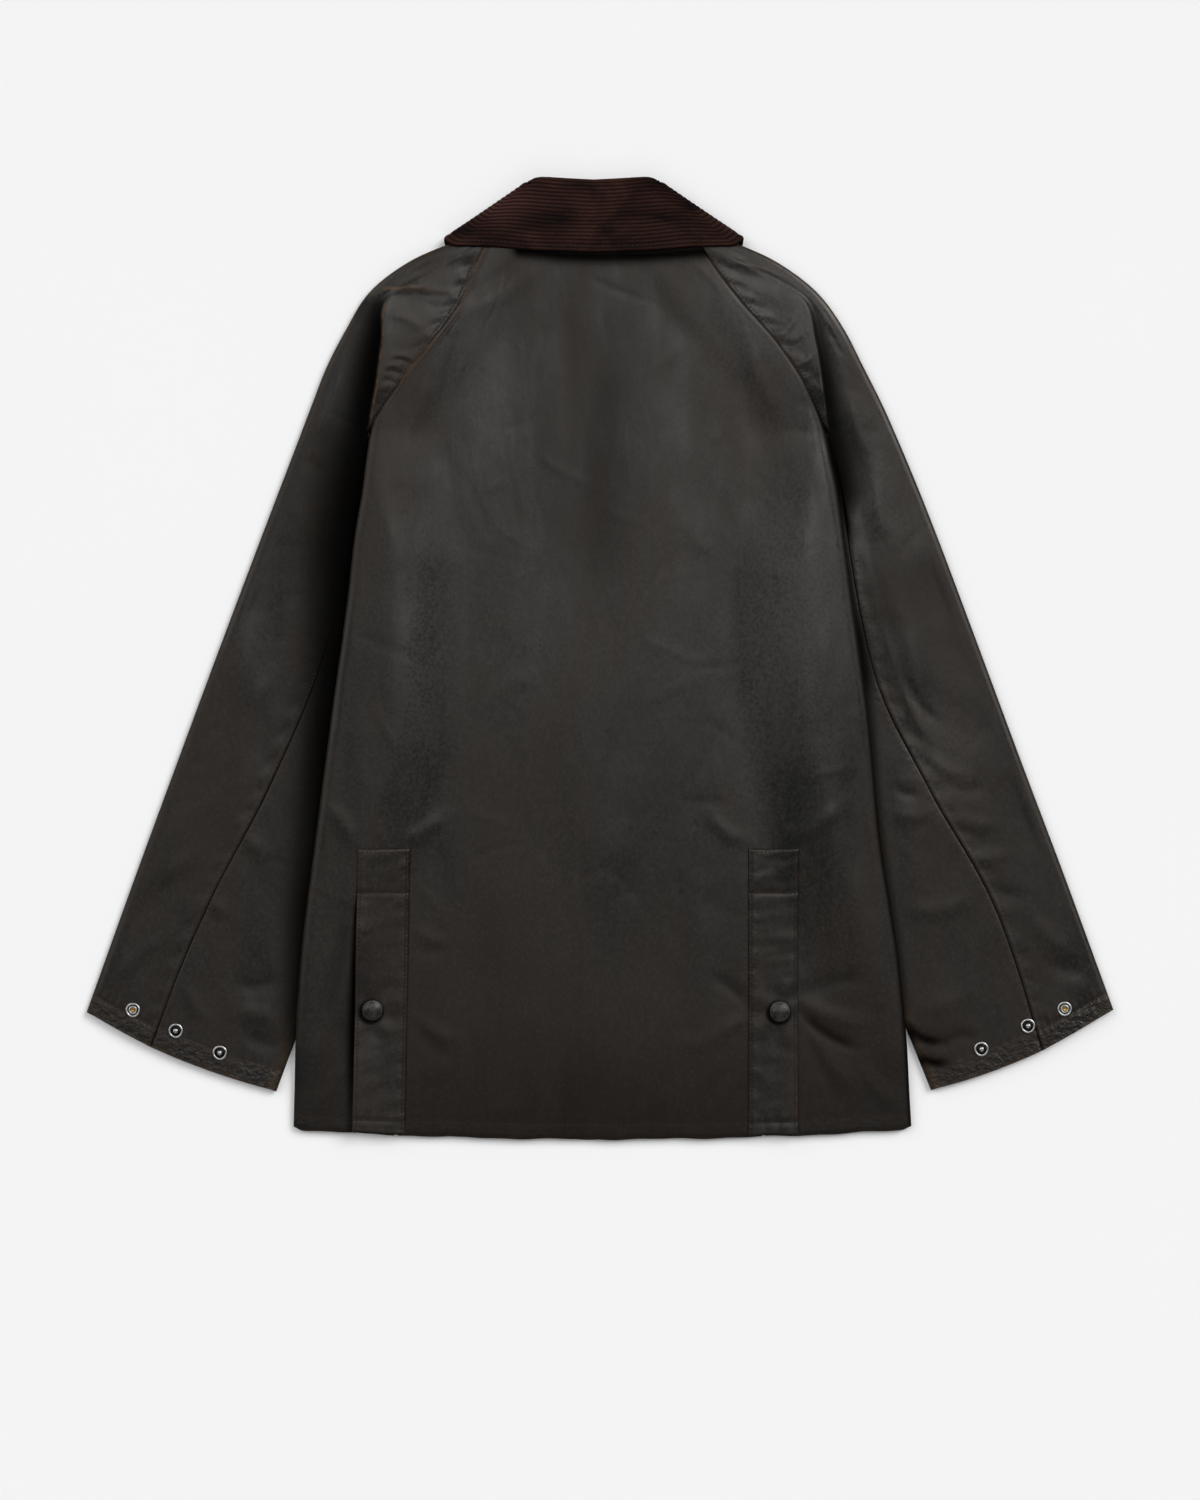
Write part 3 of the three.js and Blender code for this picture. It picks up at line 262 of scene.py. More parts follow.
# %% Corduroy
# A short dark pile. It lies one way or the other in soft patches, which catch the light differently.
# The grooves between wales are painted nearly black as painted shade, and a lighter patch of painted
# sheen lies on the collar.
def corduroy():
    material, tree, shader = new_material("corduroy")
    nap = noise(tree, 30, (1.6, 1, 1), detail=3, distortion=0.6)
    pile = noise(tree, 1.3, (2.2, 1, 1), detail=3, roughness=0.7)
    colour = blend_colour(tree, remap(tree, nap, 0.36, 0.64), linear("#0f0605"), linear("#36201a"))
    colour = blend_colour(tree, 1.0, colour, remap(tree, pile, 0.3, 0.7, 0.6, 1.35), "MULTIPLY")
    # A lighter patch of painted sheen on the collar.
    lit = math_node(tree, "MULTIPLY", attribute(tree, "painted_sheen_and_shade"), 0.7)
    colour = blend_colour(tree, lit, colour, linear("#4e312b"))
    # Painted shade: the grooves between wales go nearly black.
    groove = attribute(tree, "groove")
    colour = blend_colour(tree, math_node(tree, "MULTIPLY", groove, 0.88), colour, linear("#030101"))
    tree.links.new(colour, shader.inputs["Base Color"])
    shader.inputs["Roughness"].default_value = 0.95
    shader.inputs["Specular IOR Level"].default_value = 0.12
    shader.inputs["Sheen Weight"].default_value = 0.07
    shader.inputs["Sheen Roughness"].default_value = 0.4
    shader.inputs["Sheen Tint"].default_value = linear("#7d4a44")
    normal = bump(tree, pile, 0.5, 0.7)
    tree.links.new(normal, shader.inputs["Normal"])
    return material


CORD = corduroy()
print("material", CORD.name)


# %% Metals and thread
# The vent caps are blackened and rubbed brighter at the rim, the snaps are bright nickel, a
# socket's spring shows brass in its hole, and the thread is a dull dark brown. Each snap's well
# holds a dark disc, painted shade.
def metal(name, colour, worn_colour, roughness, size_mm):
    material, tree, shader = new_material(name)
    blotch = noise(tree, size_mm, detail=4, roughness=0.6)
    mixed = blend_colour(tree, remap(tree, blotch, 0.35, 0.7), linear(colour), linear(worn_colour))
    tree.links.new(mixed, shader.inputs["Base Color"])
    tree.links.new(remap(tree, blotch, 0.3, 0.7, roughness, roughness + 0.14), shader.inputs["Roughness"])
    shader.inputs["Metallic"].default_value = 1.0
    tree.links.new(bump(tree, blotch, 0.02, 0.4), shader.inputs["Normal"])
    return material


def thread():
    material, tree, shader = new_material("sewing_thread")
    twist = noise(tree, 0.6, (1, 3, 1), detail=2)
    mixed = blend_colour(tree, twist, linear("#040302"), linear("#0c0806"))
    tree.links.new(mixed, shader.inputs["Base Color"])
    shader.inputs["Roughness"].default_value = 0.7
    tree.links.new(bump(tree, twist, 0.1, 0.6), shader.inputs["Normal"])
    return material


GUNMETAL = metal("blackened_cap", "#302f2e", "#484643", 0.36, 3)
NICKEL = metal("nickel_plate", "#b4b4b3", "#8a8a89", 0.27, 2)
BRASS = metal("brass_spring", "#b08a3c", "#8a6a2c", 0.3, 1.5)
WELL_PAINTED_SHADE = metal("painted_shade_well", "#1b1b1b", "#2c2c2c", 0.45, 2)
THREAD = thread()
print("materials", GUNMETAL.name, NICKEL.name, BRASS.name, THREAD.name)

# %% [markdown]
# The jacket's tables
#
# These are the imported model's own sizes. Each table has named columns, and read() takes a value
# between its rows on a smooth curve that never overshoots them.

# %% Tables of the body and sleeves
CLOTH = 1.5
SEAM_GAP = 0.3
RAGLAN_GAP = 0.7
UNDER_BODY = 5.2
COLLAR_LEAF_LIFT = 2.5
NECK_LIFT = 1.5
FLY_LIFT = 1.8
FLY_CLEAR = 29
FLY_RAMP = 46
LIFT_START = 55
LIFT_FULL = 8
HEM_Y = -386
HEM_DIP = 8
UNDERARM_Y = 187
NECK_Y = 338
FRONT_NECK_Y = 262
SIDE_ROLL = 9
ROLL_START_Y = 238
SLEEVE_ROLL = 7
INNER_ROLL = 5
TUCK = 0.8  # how far a seam's lower cloth reaches under its upper one
BROW_HALF_WIDTH = 3.2
UNDERSLEEVE_END = 0.985
CUFF_BOW = 5
COLLAR_X = -5


def table(columns, *rows):
    """A table's columns by name, as arrays."""
    return {name: np.array([row[n] for row in rows], float) for n, name in enumerate(columns.split())}


BODY = table(
    "y left right side crown equator lift",
    (338, -93, 82, 8.9, 8.9, 6.6, 0.0),
    (314, -104, 98, 9.2, 8.4, 6.6, 0.0),
    (291, -114, 116, 9.4, 7.9, 6.6, 0.0),
    (258, -138, 145, 9.6, 7.4, 6.6, 0.0),
    (223, -165, 168, 9.8, 7.1, 6.6, 0.2),
    (187, -187, 184, 9.6, 6.9, 6.6, 2.9),
    (163, -191, 189, 11.6, 6.9, 8.6, 5.4),
    (139, -194, 194, 12.4, 6.9, 9.2, 5.8),
    (96, -201, 200, 12.6, 6.9, 9.3, 5.8),
    (52, -206, 206, 12.6, 6.9, 9.3, 5.8),
    (-51, -220, 220, 12.6, 6.9, 9.3, 5.8),
    (-144, -232, 229, 12.6, 6.9, 9.3, 5.8),
    (-252, -245, 245, 12.4, 6.8, 9.2, 5.8),
    (-316, -249, 251, 11.4, 6.8, 8.4, 5.2),
    (-350, -250, 253, 8.4, 7.0, 5.0, 1.4),
    (-386, -251, 255, 7.0, 7.4, 3.6, 0.0),
)
FRONT_RAGLAN = table(
    "y left right",
    (187, -187, 184),
    (222, -168, 167),
    (255, -145, 140),
    (285, -125, 116),
    (312, -104.5, 93.5),
)
OUTER_FOLD = {
    "left": table(
        "v x y",
        (0.0, -420.5, -290),
        (0.2, -381, -180),
        (0.4, -345, -82),
        (0.6, -309, 15),
        (0.8, -272, 113),
        (0.9, -254, 160),
        (1.0, -236.5, 206),
        (1.2, -224, 238),
        (1.4, -208, 269),
        (1.6, -190, 298),
        (1.8, -155, 325),
        (2.0, -105, 346),
    ),
    "right": table(
        "v x y",
        (0.0, 420.5, -288),
        (0.2, 381, -180),
        (0.4, 344, -82),
        (0.6, 308, 15),
        (0.8, 271, 113),
        (0.9, 252, 160),
        (1.0, 232, 206),
        (1.2, 216, 238),
        (1.4, 200, 269),
        (1.6, 179, 298),
        (1.8, 143, 325),
        (2.0, 95, 346),
    ),
}
SLEEVE_LINES = {
    "left": table(
        "v seamX seamY innerX innerY lowX lowY",
        (0.0, -368, -314, -265, -355, -318, -338),
        (0.2, -321, -203, -223, -239, -272, -221),
        (0.4, -271, -107, -191, -140, -232, -123),
        (0.6, -231, -12, -169, -37, -199, -25),
        (0.8, -204, 88, -167, 75, -185, 81),
        (0.9, -197, 139, -184, 134, -194, 138),
        (1.0, -187.6, 187, -187.6, 187, -187.6, 187),
    ),
    "right": table(
        "v seamX seamY innerX innerY lowX lowY",
        (0.0, 362, -317, 271, -354, 318, -337),
        (0.2, 322, -202, 226, -239, 274, -221),
        (0.4, 270, -109, 194, -140, 232, -123),
        (0.6, 225, -15, 173, -37, 199, -25),
        (0.8, 204, 88, 168, 75, 186, 81),
        (0.9, 197, 139, 184, 134, 194, 138),
        (1.0, 184.6, 187, 184.6, 187, 184.6, 187),
    ),
}
SLEEVE_TOP = table(
    "v seam brow valley crown near fold",
    (0.0, 6.8, 7.0, 7.0, 7.1, 6.4, 0.3),
    (0.2, 7.0, 7.0, 7.0, 7.0, 6.8, 0.3),
    (0.4, 6.8, 7.0, 7.0, 7.0, 6.8, 0.3),
    (0.6, 5.8, 6.8, 6.8, 7.0, 6.8, 0.25),
    (0.8, 5.2, 5.8, 5.8, 7.0, 6.8, 0.2),
    (0.9, 5.2, 5.6, 5.6, 7.0, 6.8, 0.15),
    (1.0, 6.6, 6.6, 6.0, 7.0, 6.8, 0.12),
    (1.1, 8.4, 8.6, 5.8, 6.9, 6.8, 0.22),
    (1.2, 9.6, 10.0, 5.6, 6.8, 6.8, 0.35),
    (1.4, 9.6, 10.0, 5.8, 6.8, 6.8, 0.63),
    (1.6, 9.4, 9.6, 7.4, 7.5, 7.4, 0.88),
    (1.8, 9.2, 9.2, 8.8, 8.6, 8.2, 0.7),
    (2.0, 8.9, 8.8, 8.7, 8.6, 8.4, 0.6),
)
SLEEVE_UNDER = table(
    "v equator innerEquator innerNear low",
    (0.0, 3.3, 3.2, 6.4, 0.0),
    (0.2, 3.4, 2.6, 5.2, 0.0),
    (0.8, 3.4, 2.6, 5.2, 0.0),
    (0.9, 3.4, 2.6, 5.2, 0.4),
    (1.0, 3.4, 3.8, 6.6, 2.9),
    (1.1, 3.4, 3.8, 6.6, 1.2),
    (1.2, 3.4, 3.8, 6.6, 0.2),
    (1.4, 3.6, 3.8, 6.6, 0.0),
    (1.6, 4.2, 3.8, 6.6, 0.0),
    (1.8, 5.4, 3.8, 6.6, 0.0),
    (2.0, 6.2, 3.8, 6.6, 0.0),
)


def mix(a, b, t):
    return a + (b - a) * t


def smooth(t):
    t = np.clip(t, 0, 1)
    return t * t * (3 - 2 * t)


def read(rows, key, at, column):
    """A column's value at places along the key, between the table's rows."""
    order = np.argsort(rows[key])
    x, y = rows[key][order], rows[column][order]
    slope = np.diff(y) / np.diff(x)
    before, after = slope[:-1], slope[1:]
    together = before * after > 0
    inner = np.where(together, 2 * before * after / np.where(together, before + after, 1), 0)
    tangent = np.concatenate([slope[:1], inner, slope[-1:]])
    at = np.clip(np.asarray(at, float), x[0], x[-1])
    i = np.clip(np.searchsorted(x, at, side="right") - 1, 0, len(slope) - 1)
    span = x[i + 1] - x[i]
    t = (at - x[i]) / span
    rise = (2 * t**3 - 3 * t**2 + 1) * y[i] + (3 * t**2 - 2 * t**3) * y[i + 1]
    return rise + span * ((t**3 - 2 * t**2 + t) * tangent[i] + (t**3 - t**2) * tangent[i + 1])


def body(y, column):
    return read(BODY, "y", y, column)


print("tables of", len(BODY["y"]), "body levels and", len(SLEEVE_TOP["v"]), "sleeve levels")

# %% [markdown]
# Creases
#
# Each crease is a row: where it starts and ends, how far it bows, its width, its height above or
# depth below the cloth, and how much it has cracked the wax. They were placed against the
# photograph, in the jacket's own millimetres. Fine wrinkles are a sum of long faint waves.

# %% Crease tables
CREASE_COLUMNS = "x1 y1 x2 y2 bow width height wax"
BACK_CREASES = table(
    CREASE_COLUMNS,
    (-64, 326, -120, 290, -3, 7, -0.8, 0.1),
    (-50, 322, -106, 286, -3, 9, 0.6, 0.05),
    (-100, 300, -128, 262, 2, 9, 0.8, 0.0),
    (52, 318, 112, 236, 6, 11, 0.6, 0.0),
    (36, 316, 92, 250, 8, 9, -0.35, 0.0),
    (98, 300, 78, 322, 2, 4, 0.4, 0.15),
    (118, 262, 150, 196, 3, 8, 0.7, 0.1),
    (106, 236, 136, 170, 2, 12, -0.6, 0.0),
    (-140, 232, -162, 176, -2, 9, 0.9, 0.1),
    (-150, 205, -128, 150, 3, 13, -0.7, 0.0),
    (12, 260, 4, 40, 4, 20, -0.9, 0.0),
    (-36, 280, -48, 90, -3, 16, 0.7, 0.0),
    (48, 240, 60, 60, 5, 18, 0.8, 0.0),
    (-92, 160, -108, -90, 6, 26, -0.8, 0.0),
    (96, 120, 84, -110, -6, 24, -0.8, 0.0),
    (-20, 40, -10, -180, 5, 22, 0.6, 0.0),
    (134, 60, 150, -120, 4, 18, 0.8, 0.0),
    (-168, 120, -180, -60, -3, 14, 0.8, 0.0),
    (172, 118, 188, -30, 3, 12, 0.9, 0.0),
    (40, -90, 30, -290, -5, 26, -0.7, 0.0),
    (-70, -160, -58, -330, 5, 24, 0.7, 0.0),
    (84, -190, 100, -350, 4, 14, 0.7, 0.0),
    (-196, 30, -214, -120, 3, 10, -0.6, 0.0),
    (206, -40, 222, -200, 3, 10, -0.7, 0.0),
    (66, 120, 92, 84, 3, 7, 0.35, 0.05),
    (-56, -14, -86, -34, 2, 7, 0.4, 0.0),
    (164, -288, 212, -318, 4, 5, -1.3, 0.1),
    (164, -282, 222, -300, 3, 7, 1.1, 0.1),
    (120, -282, 96, -262, 2, 5, -1.0, 0.0),
    (120, -296, 100, -306, 2, 5, 0.8, 0.1),
    (122, -346, 104, -366, 2, 5, -0.8, 0.0),
    (164, -276, 214, -262, -3, 6, -0.9, 0.0),
    (168, -298, 214, -352, 4, 7, 1.0, 0.1),
    (170, -306, 200, -364, 3, 5, -0.8, 0.0),
    (210, -330, 246, -366, 2, 7, 0.9, 0.1),
    (112, -300, 66, -318, -3, 7, 0.6, 0.0),
    (114, -330, 84, -362, 2, 6, -0.6, 0.0),
    (-148, -296, -118, -312, 2, 5, 0.9, 0.1),
    (-150, -304, -124, -326, 2, 5, -0.8, 0.0),
    (-150, -222, -128, -232, 2, 5, 0.6, 0.1),
    (-150, -240, -126, -238, 2, 5, -0.5, 0.0),
    (-152, -340, -120, -330, 2, 6, 0.6, 0.0),
    (-206, -208, -226, -300, -3, 8, -1.0, 0.0),
    (-212, -260, -240, -340, -2, 8, 0.8, 0.0),
    (-204, -330, -236, -372, 2, 6, 0.7, 0.1),
    (150, -148, 196, -120, 4, 7, 0.7, 0.0),
    (118, -150, 90, -128, -3, 6, 0.6, 0.0),
    (-160, -150, -128, -128, 2, 6, 0.6, 0.0),
    (-202, -150, -222, -120, 2, 6, 0.6, 0.0),
    (20, -366, 60, -352, 2, 5, 0.5, 0.0),
    (-90, -364, -50, -356, 2, 5, 0.5, 0.0),
)
SLEEVE_CREASES = {
    "left": table(
        CREASE_COLUMNS,
        (-188, 303, -142, 305, 2, 3.2, 0.6, 1.0),
        (-160, 305, -118, 300, 2, 3, 0.4, 0.4),
        (-184, 299, -124, 298, 2, 4, -0.4, 0.0),
        (-160, 318, -112, 322, 2, 8, -0.6, 0.1),
        (-152, 243, -170, 247, 2, 2.6, 0.35, 0.2),
        (-154, 240, -167, 244, 1, 1.8, -0.55, 0.0),
        (-160, 231, -174, 235, 1, 1.8, -0.55, 0.0),
        (-162, 235, -174, 239, 1, 2.4, 0.3, 0.2),
        (-164, 223, -177, 227, 1, 1.7, -0.45, 0.0),
        (-166, 214, -180, 216, 1, 1.8, -0.35, 0.1),
        (-140, 266, -174, 282, 3, 5, 0.4, 0.2),
        (-130, 286, -168, 291, 2, 4, -0.4, 0.0),
        (-242, 166, -222, 153, 2, 3.0, -0.9, 0.1),
        (-244, 172, -224, 160, 2, 3.4, 0.8, 0.2),
        (-216, 236, -232, 176, -3, 7, 1.0, 0.0),
        (-238, 120, -256, 10, 4, 10, 1.0, 0.0),
        (-262, 110, -284, 20, -4, 10, -0.7, 0.0),
        (-270, -10, -300, -100, 6, 9, 0.9, 0.0),
        (-300, -20, -330, -120, -5, 12, -0.7, 0.0),
        (-330, -110, -356, -190, 5, 10, 0.8, 0.0),
        (-346, -180, -384, -226, 6, 9, -0.7, 0.0),
        (-330, -160, -366, -196, 4, 6, 0.6, 0.0),
        (-360, -230, -392, -262, 3, 6, 0.7, 0.0),
        (-300, -130, -276, -160, 3, 6, 0.7, 0.0),
        (-332, -196, -300, -214, -3, 6, 0.7, 0.1),
        (-296, -268, -262, -262, 4, 6, -0.8, 0.0),
        (-300, -290, -262, -300, -4, 6, 0.8, 0.1),
        (-290, -306, -258, -316, 3, 5, -0.9, 0.0),
        (-340, -268, -318, -296, 3, 5, 0.6, 0.0),
        (-256, -240, -276, -300, -3, 8, 0.7, 0.0),
    ),
    "right": table(
        CREASE_COLUMNS,
        (104, 324, 172, 302, -4, 3.0, 0.4, 0.3),
        (108, 314, 168, 294, -5, 5, -0.35, 0.0),
        (100, 306, 150, 290, -4, 6, 0.3, 0.1),
        (138, 262, 160, 282, 5, 3, 0.5, 0.1),
        (146, 256, 168, 262, 4, 2.6, -0.5, 0.0),
        (158, 238, 174, 248, 2, 2.6, 0.4, 0.1),
        (166, 224, 178, 230, 1, 2.4, -0.4, 0.0),
        (186, 278, 206, 246, 3, 4, -0.8, 0.0),
        (192, 282, 214, 240, 3, 5, 0.8, 0.1),
        (204, 210, 218, 168, 2, 5, 1.2, 0.0),
        (208, 168, 214, 120, -2, 6, -0.9, 0.0),
        (222, 150, 236, 96, 2, 8, 0.9, 0.0),
        (236, 60, 262, -40, -5, 10, 0.9, 0.0),
        (268, 90, 292, -10, 5, 12, -0.7, 0.0),
        (252, -20, 276, -52, 3, 4, -0.8, 0.0),
        (250, -28, 270, -66, 3, 4.5, 0.9, 0.1),
        (270, -80, 300, -96, 4, 5, 0.7, 0.1),
        (276, -98, 312, -108, 4, 5, -0.6, 0.0),
        (290, -128, 322, -138, 3, 6, 0.7, 0.0),
        (300, -158, 334, -160, 4, 5, 0.7, 0.1),
        (330, -90, 352, -170, -5, 12, -0.7, 0.0),
        (318, -184, 350, -196, 3, 5, -0.6, 0.0),
        (356, -214, 386, -242, 3, 7, 0.8, 0.0),
        (366, -250, 396, -256, 2, 5, -0.7, 0.0),
        (242, -108, 262, -112, 2, 4, -0.6, 0.0),
        (236, -128, 272, -126, 3, 6, 0.6, 0.0),
        (250, -206, 300, -198, 4, 7, 0.7, 0.0),
        (250, -296, 282, -312, 7, 5, -1.5, 0.0),
        (282, -312, 308, -308, -4, 4, -1.0, 0.0),
        (254, -306, 276, -322, 5, 4, 1.0, 0.1),
        (256, -320, 286, -328, 6, 4.5, -1.6, 0.0),
        (264, -334, 292, -330, -4, 4, 0.8, 0.1),
        (236, -286, 300, -276, 6, 8, 0.7, 0.0),
    ),
}


def with_fine_creases(rows, seed, count, left, right, low, high):
    """The table with short, faint creases added at random places in a box."""
    rng = np.random.default_rng(seed)
    x1, y1 = rng.uniform(left, right, count), rng.uniform(low, high, count)
    angle, length = rng.uniform(0, 2 * math.pi, count), rng.uniform(14, 62, count)
    more = {
        "x1": x1,
        "y1": y1,
        "x2": x1 + length * np.cos(angle),
        "y2": y1 + length * np.sin(angle),
        "bow": rng.uniform(-3, 3, count),
        "width": rng.uniform(1.8, 4.5, count),
        "height": rng.uniform(0.06, 0.24, count) * rng.choice([-1, 1], count),
        "wax": rng.uniform(0, 0.08, count),
    }
    return {name: np.concatenate([rows[name], more[name]]) for name in rows}


BACK_CREASES = with_fine_creases(BACK_CREASES, 41, 110, -235, 235, -370, 330)
SLEEVE_CREASES["left"] = with_fine_creases(SLEEVE_CREASES["left"], 42, 60, -390, -180, -340, 260)
SLEEVE_CREASES["right"] = with_fine_creases(SLEEVE_CREASES["right"], 43, 60, 180, 390, -340, 260)


def crease_field(x, y, rows):
    """Height of the creases at each point, how far the wax is cracked, and the deep ones' shade."""
    height, wax, dark = np.zeros_like(x), np.zeros_like(x), np.zeros_like(x)
    for n in range(len(rows["x1"])):
        row = {name: column[n] for name, column in rows.items()}
        dx, dy = row["x2"] - row["x1"], row["y2"] - row["y1"]
        length = math.hypot(dx, dy)
        along = ((x - row["x1"]) * dx + (y - row["y1"]) * dy) / length**2
        t = np.clip(along, 0, 1)
        bow = row["bow"] * 4 * t * (1 - t)
        across = ((x - row["x1"]) * dy - (y - row["y1"]) * dx) / length - bow
        beyond = (along - t) * length
        away = np.hypot(across, beyond)
        taper = 0.35 + 0.65 * smooth(4 * t) * smooth(4 * (1 - t))
        height += row["height"] * taper * np.exp(-((away / row["width"]) ** 2))
        wax += row["wax"] * taper * np.exp(-((away / (0.22 * row["width"] + 0.5)) ** 2))
        deep = max(0, -row["height"] - 0.75)
        if deep:
            dark += 0.95 * deep * taper * np.exp(-((away / (0.8 * row["width"])) ** 2))
    return height, wax, np.clip(dark, 0, 0.85)


# Patches of painted sheen, lighter where strength is above zero, and of painted shade, darker where it is below.
PAINTED_SHEEN_AND_SHADE_PATCHES = table(
    "x y wide tall strength",
    (-150, 290, 42, 30, 0.75),
    (148, 290, 50, 42, 1.3),
    (-98, 182, 34, 140, 0.5),
    (76, 190, 44, 150, 0.4),
    (-16, 150, 14, 110, -0.15),
    (50, 24, 70, 80, 0.35),
    (-72, 10, 62, 70, 0.35),
    (166, 66, 50, 110, 1.0),
    (-150, 60, 34, 90, 0.3),
    (0, -340, 260, 120, -0.95),
    (-130, -240, 60, 60, -0.4),
    (60, -150, 50, 60, 0.2),
    (126, -70, 20, 120, 0.5),
    (-148, -40, 20, 110, 0.45),
    (-336, -160, 62, 84, -0.5),
    (-350, -300, 70, 50, -0.4),
    (-276, 24, 30, 60, 0.2),
    (223, 152, 15, 38, 0.9),
    (253, 104, 28, 36, 0.45),
    (242, 56, 28, 26, -0.6),
    (278, -84, 30, 48, 0.6),
    (312, -230, 60, 60, -0.35),
    (285, -318, 34, 30, -1.0),
    (350, -150, 26, 60, -0.3),
)


def painted_sheen_and_shade_at(x, y):
    """How much painted sheen lies on the cloth at each point; below zero it is painted shade."""
    total = np.zeros_like(x)
    for n in range(len(PAINTED_SHEEN_AND_SHADE_PATCHES["x"])):
        across = (x - PAINTED_SHEEN_AND_SHADE_PATCHES["x"][n]) / PAINTED_SHEEN_AND_SHADE_PATCHES["wide"][n]
        along = (y - PAINTED_SHEEN_AND_SHADE_PATCHES["y"][n]) / PAINTED_SHEEN_AND_SHADE_PATCHES["tall"][n]
        total += PAINTED_SHEEN_AND_SHADE_PATCHES["strength"][n] * np.exp(-(across**2) - along**2)
    return np.clip(total, -1, 1)


def wrinkles(x, y, seed, size=34.0, depth=0.32, waves=22):
    """Faint uneven waves all over the cloth."""
    rng = np.random.default_rng(seed)
    total = np.zeros_like(x)
    bent_x = x + 9 * np.sin(y / 41 + seed)
    bent_y = y + 9 * np.sin(x / 37 - seed)
    for _ in range(waves):
        angle = rng.uniform(0, math.pi)
        wave = size * rng.uniform(0.55, 2.6)
        phase = rng.uniform(0, 2 * math.pi)
        strength = depth * (wave / size / 2) ** 1.1 / math.sqrt(waves)
        total += strength * np.sin(2 * math.pi * (bent_x * math.cos(angle) + bent_y * math.sin(angle)) / wave + phase)
    return total


print(len(BACK_CREASES["x1"]), "creases on the back")

# %% [markdown]
# The cloth's surfaces
#
# Each function gives the place of one surface at a grid of parameters, in millimetres. They
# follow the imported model: the body's sides roll under to meet the fronts, the sleeves pass under
# the body, and the shoulders fold over beside the raglan seams.


# %% Surfaces of the body
def hem_drop(y, u):
    """The hem swings down between its rounded corners, and waves a little."""
    swing = HEM_DIP * (1 - u * u) * smooth((HEM_Y + 90 - y) / 90)
    corner = 2.6 * smooth((np.abs(u) - 0.955) / 0.045) ** 2 * smooth((HEM_Y + 26 - y) / 26)
    wave = 0.45 * np.sin(19 * u + 1) + 0.3 * np.sin(43 * u)
    return swing - corner + wave * smooth((HEM_Y + 14 - y) / 14)


def hidden_fold(side, y):
    """Distance from the middle to the fold of the sleeve that lies under the body."""
    edge = np.abs(body(y, side))
    inner = np.abs(read(SLEEVE_LINES[side], "innerY", y, "innerX"))
    return np.where(y > UNDERARM_Y, edge, np.minimum(edge, inner))


def roll_share(y):
    return smooth((ROLL_START_Y - y) / (ROLL_START_Y - UNDERARM_Y))


def collar_lift(x, y):
    across = smooth((150 - np.abs(x - COLLAR_X)) / 22)
    return COLLAR_LEAF_LIFT * across * smooth((y - 226) / 16)


def back_top(x, y):
    """The back panel's height before creases. It rises over the sleeves."""
    fold = np.where(x < 0, hidden_fold("left", y), hidden_fold("right", y))
    rise = smooth((LIFT_START + 8 - fold + np.abs(x)) / (LIFT_START + 8))
    return mix(body(y, "crown"), body(y, "side"), rise)


def stretch_distance(x, y, line):
    """Distance from points to a line given by its corners."""
    line = np.asarray(line, float)
    nearest = np.full(x.shape, 1e6)
    for a, b in zip(line[:-1], line[1:]):
        step = b - a
        t = np.clip(((x - a[0]) * step[0] + (y - a[1]) * step[1]) / (step @ step), 0, 1)
        nearest = np.minimum(nearest, np.hypot(x - a[0] - t * step[0], y - a[1] - t * step[1]))
    return nearest


def edge_line(side, top, bottom, inset=0.0, count=60):
    """A line down the back panel, inset from its side or raglan edge."""
    y = np.linspace(top, bottom, count)
    slope = np.gradient(body(y, side), y)
    inward = 1 if side == "left" else -1
    return np.column_stack([body(y, side) + inward * inset * np.hypot(1, slope), y])


def back_height(x, y):
    """The finished back: its form, its creases, and the ridge beside each seam."""
    creases, wax, dark = crease_field(x, y, BACK_CREASES)
    strength = mix(0.62, 1.05, smooth((-90 - y) / 80))
    z = back_top(x, y) + strength * creases + 0.7 * wrinkles(x, 0.45 * y, 3)
    raglan = np.minimum(
        stretch_distance(x, y, edge_line("left", NECK_Y, UNDERARM_Y)),
        stretch_distance(x, y, edge_line("right", NECK_Y, UNDERARM_Y)),
    )
    proud = np.where(x < 0, 1, 0.3)
    z -= proud * 0.35 * np.exp(-((raglan / 1.5) ** 2))
    z += proud * 0.25 * np.exp(-(((raglan - 3) / 2) ** 2))
    hem = y - (HEM_Y + 11.5)
    z -= 0.5 * np.exp(-((hem / 1.6) ** 2))
    z += 0.25 * np.sin(x / 1.7 + 1.5 * np.sin(x / 17)) * np.exp(-((hem / 7) ** 2))
    sewn = np.where(x < 0, np.abs(raglan - 3.4) + 0.3, np.maximum(raglan - 0.8, 0))
    return z, wax, np.minimum(sewn, np.abs(hem) + 0.4), np.where(x < 0, raglan, raglan + 1.3), dark


COLLAR_SHADOW = [(-66, 333), (-30, 329), (0, 328), (40, 329), (108, 334)]
VENT_MOUTH_X = -200
VENT_MIDDLE_Y = -270
VENT_SLANT = 0.02
# How dark the painted shade towards the hem grows, and where it starts.
HEM_PAINTED_SHADE = 0.24
HEM_SHADE_START_Y = -280


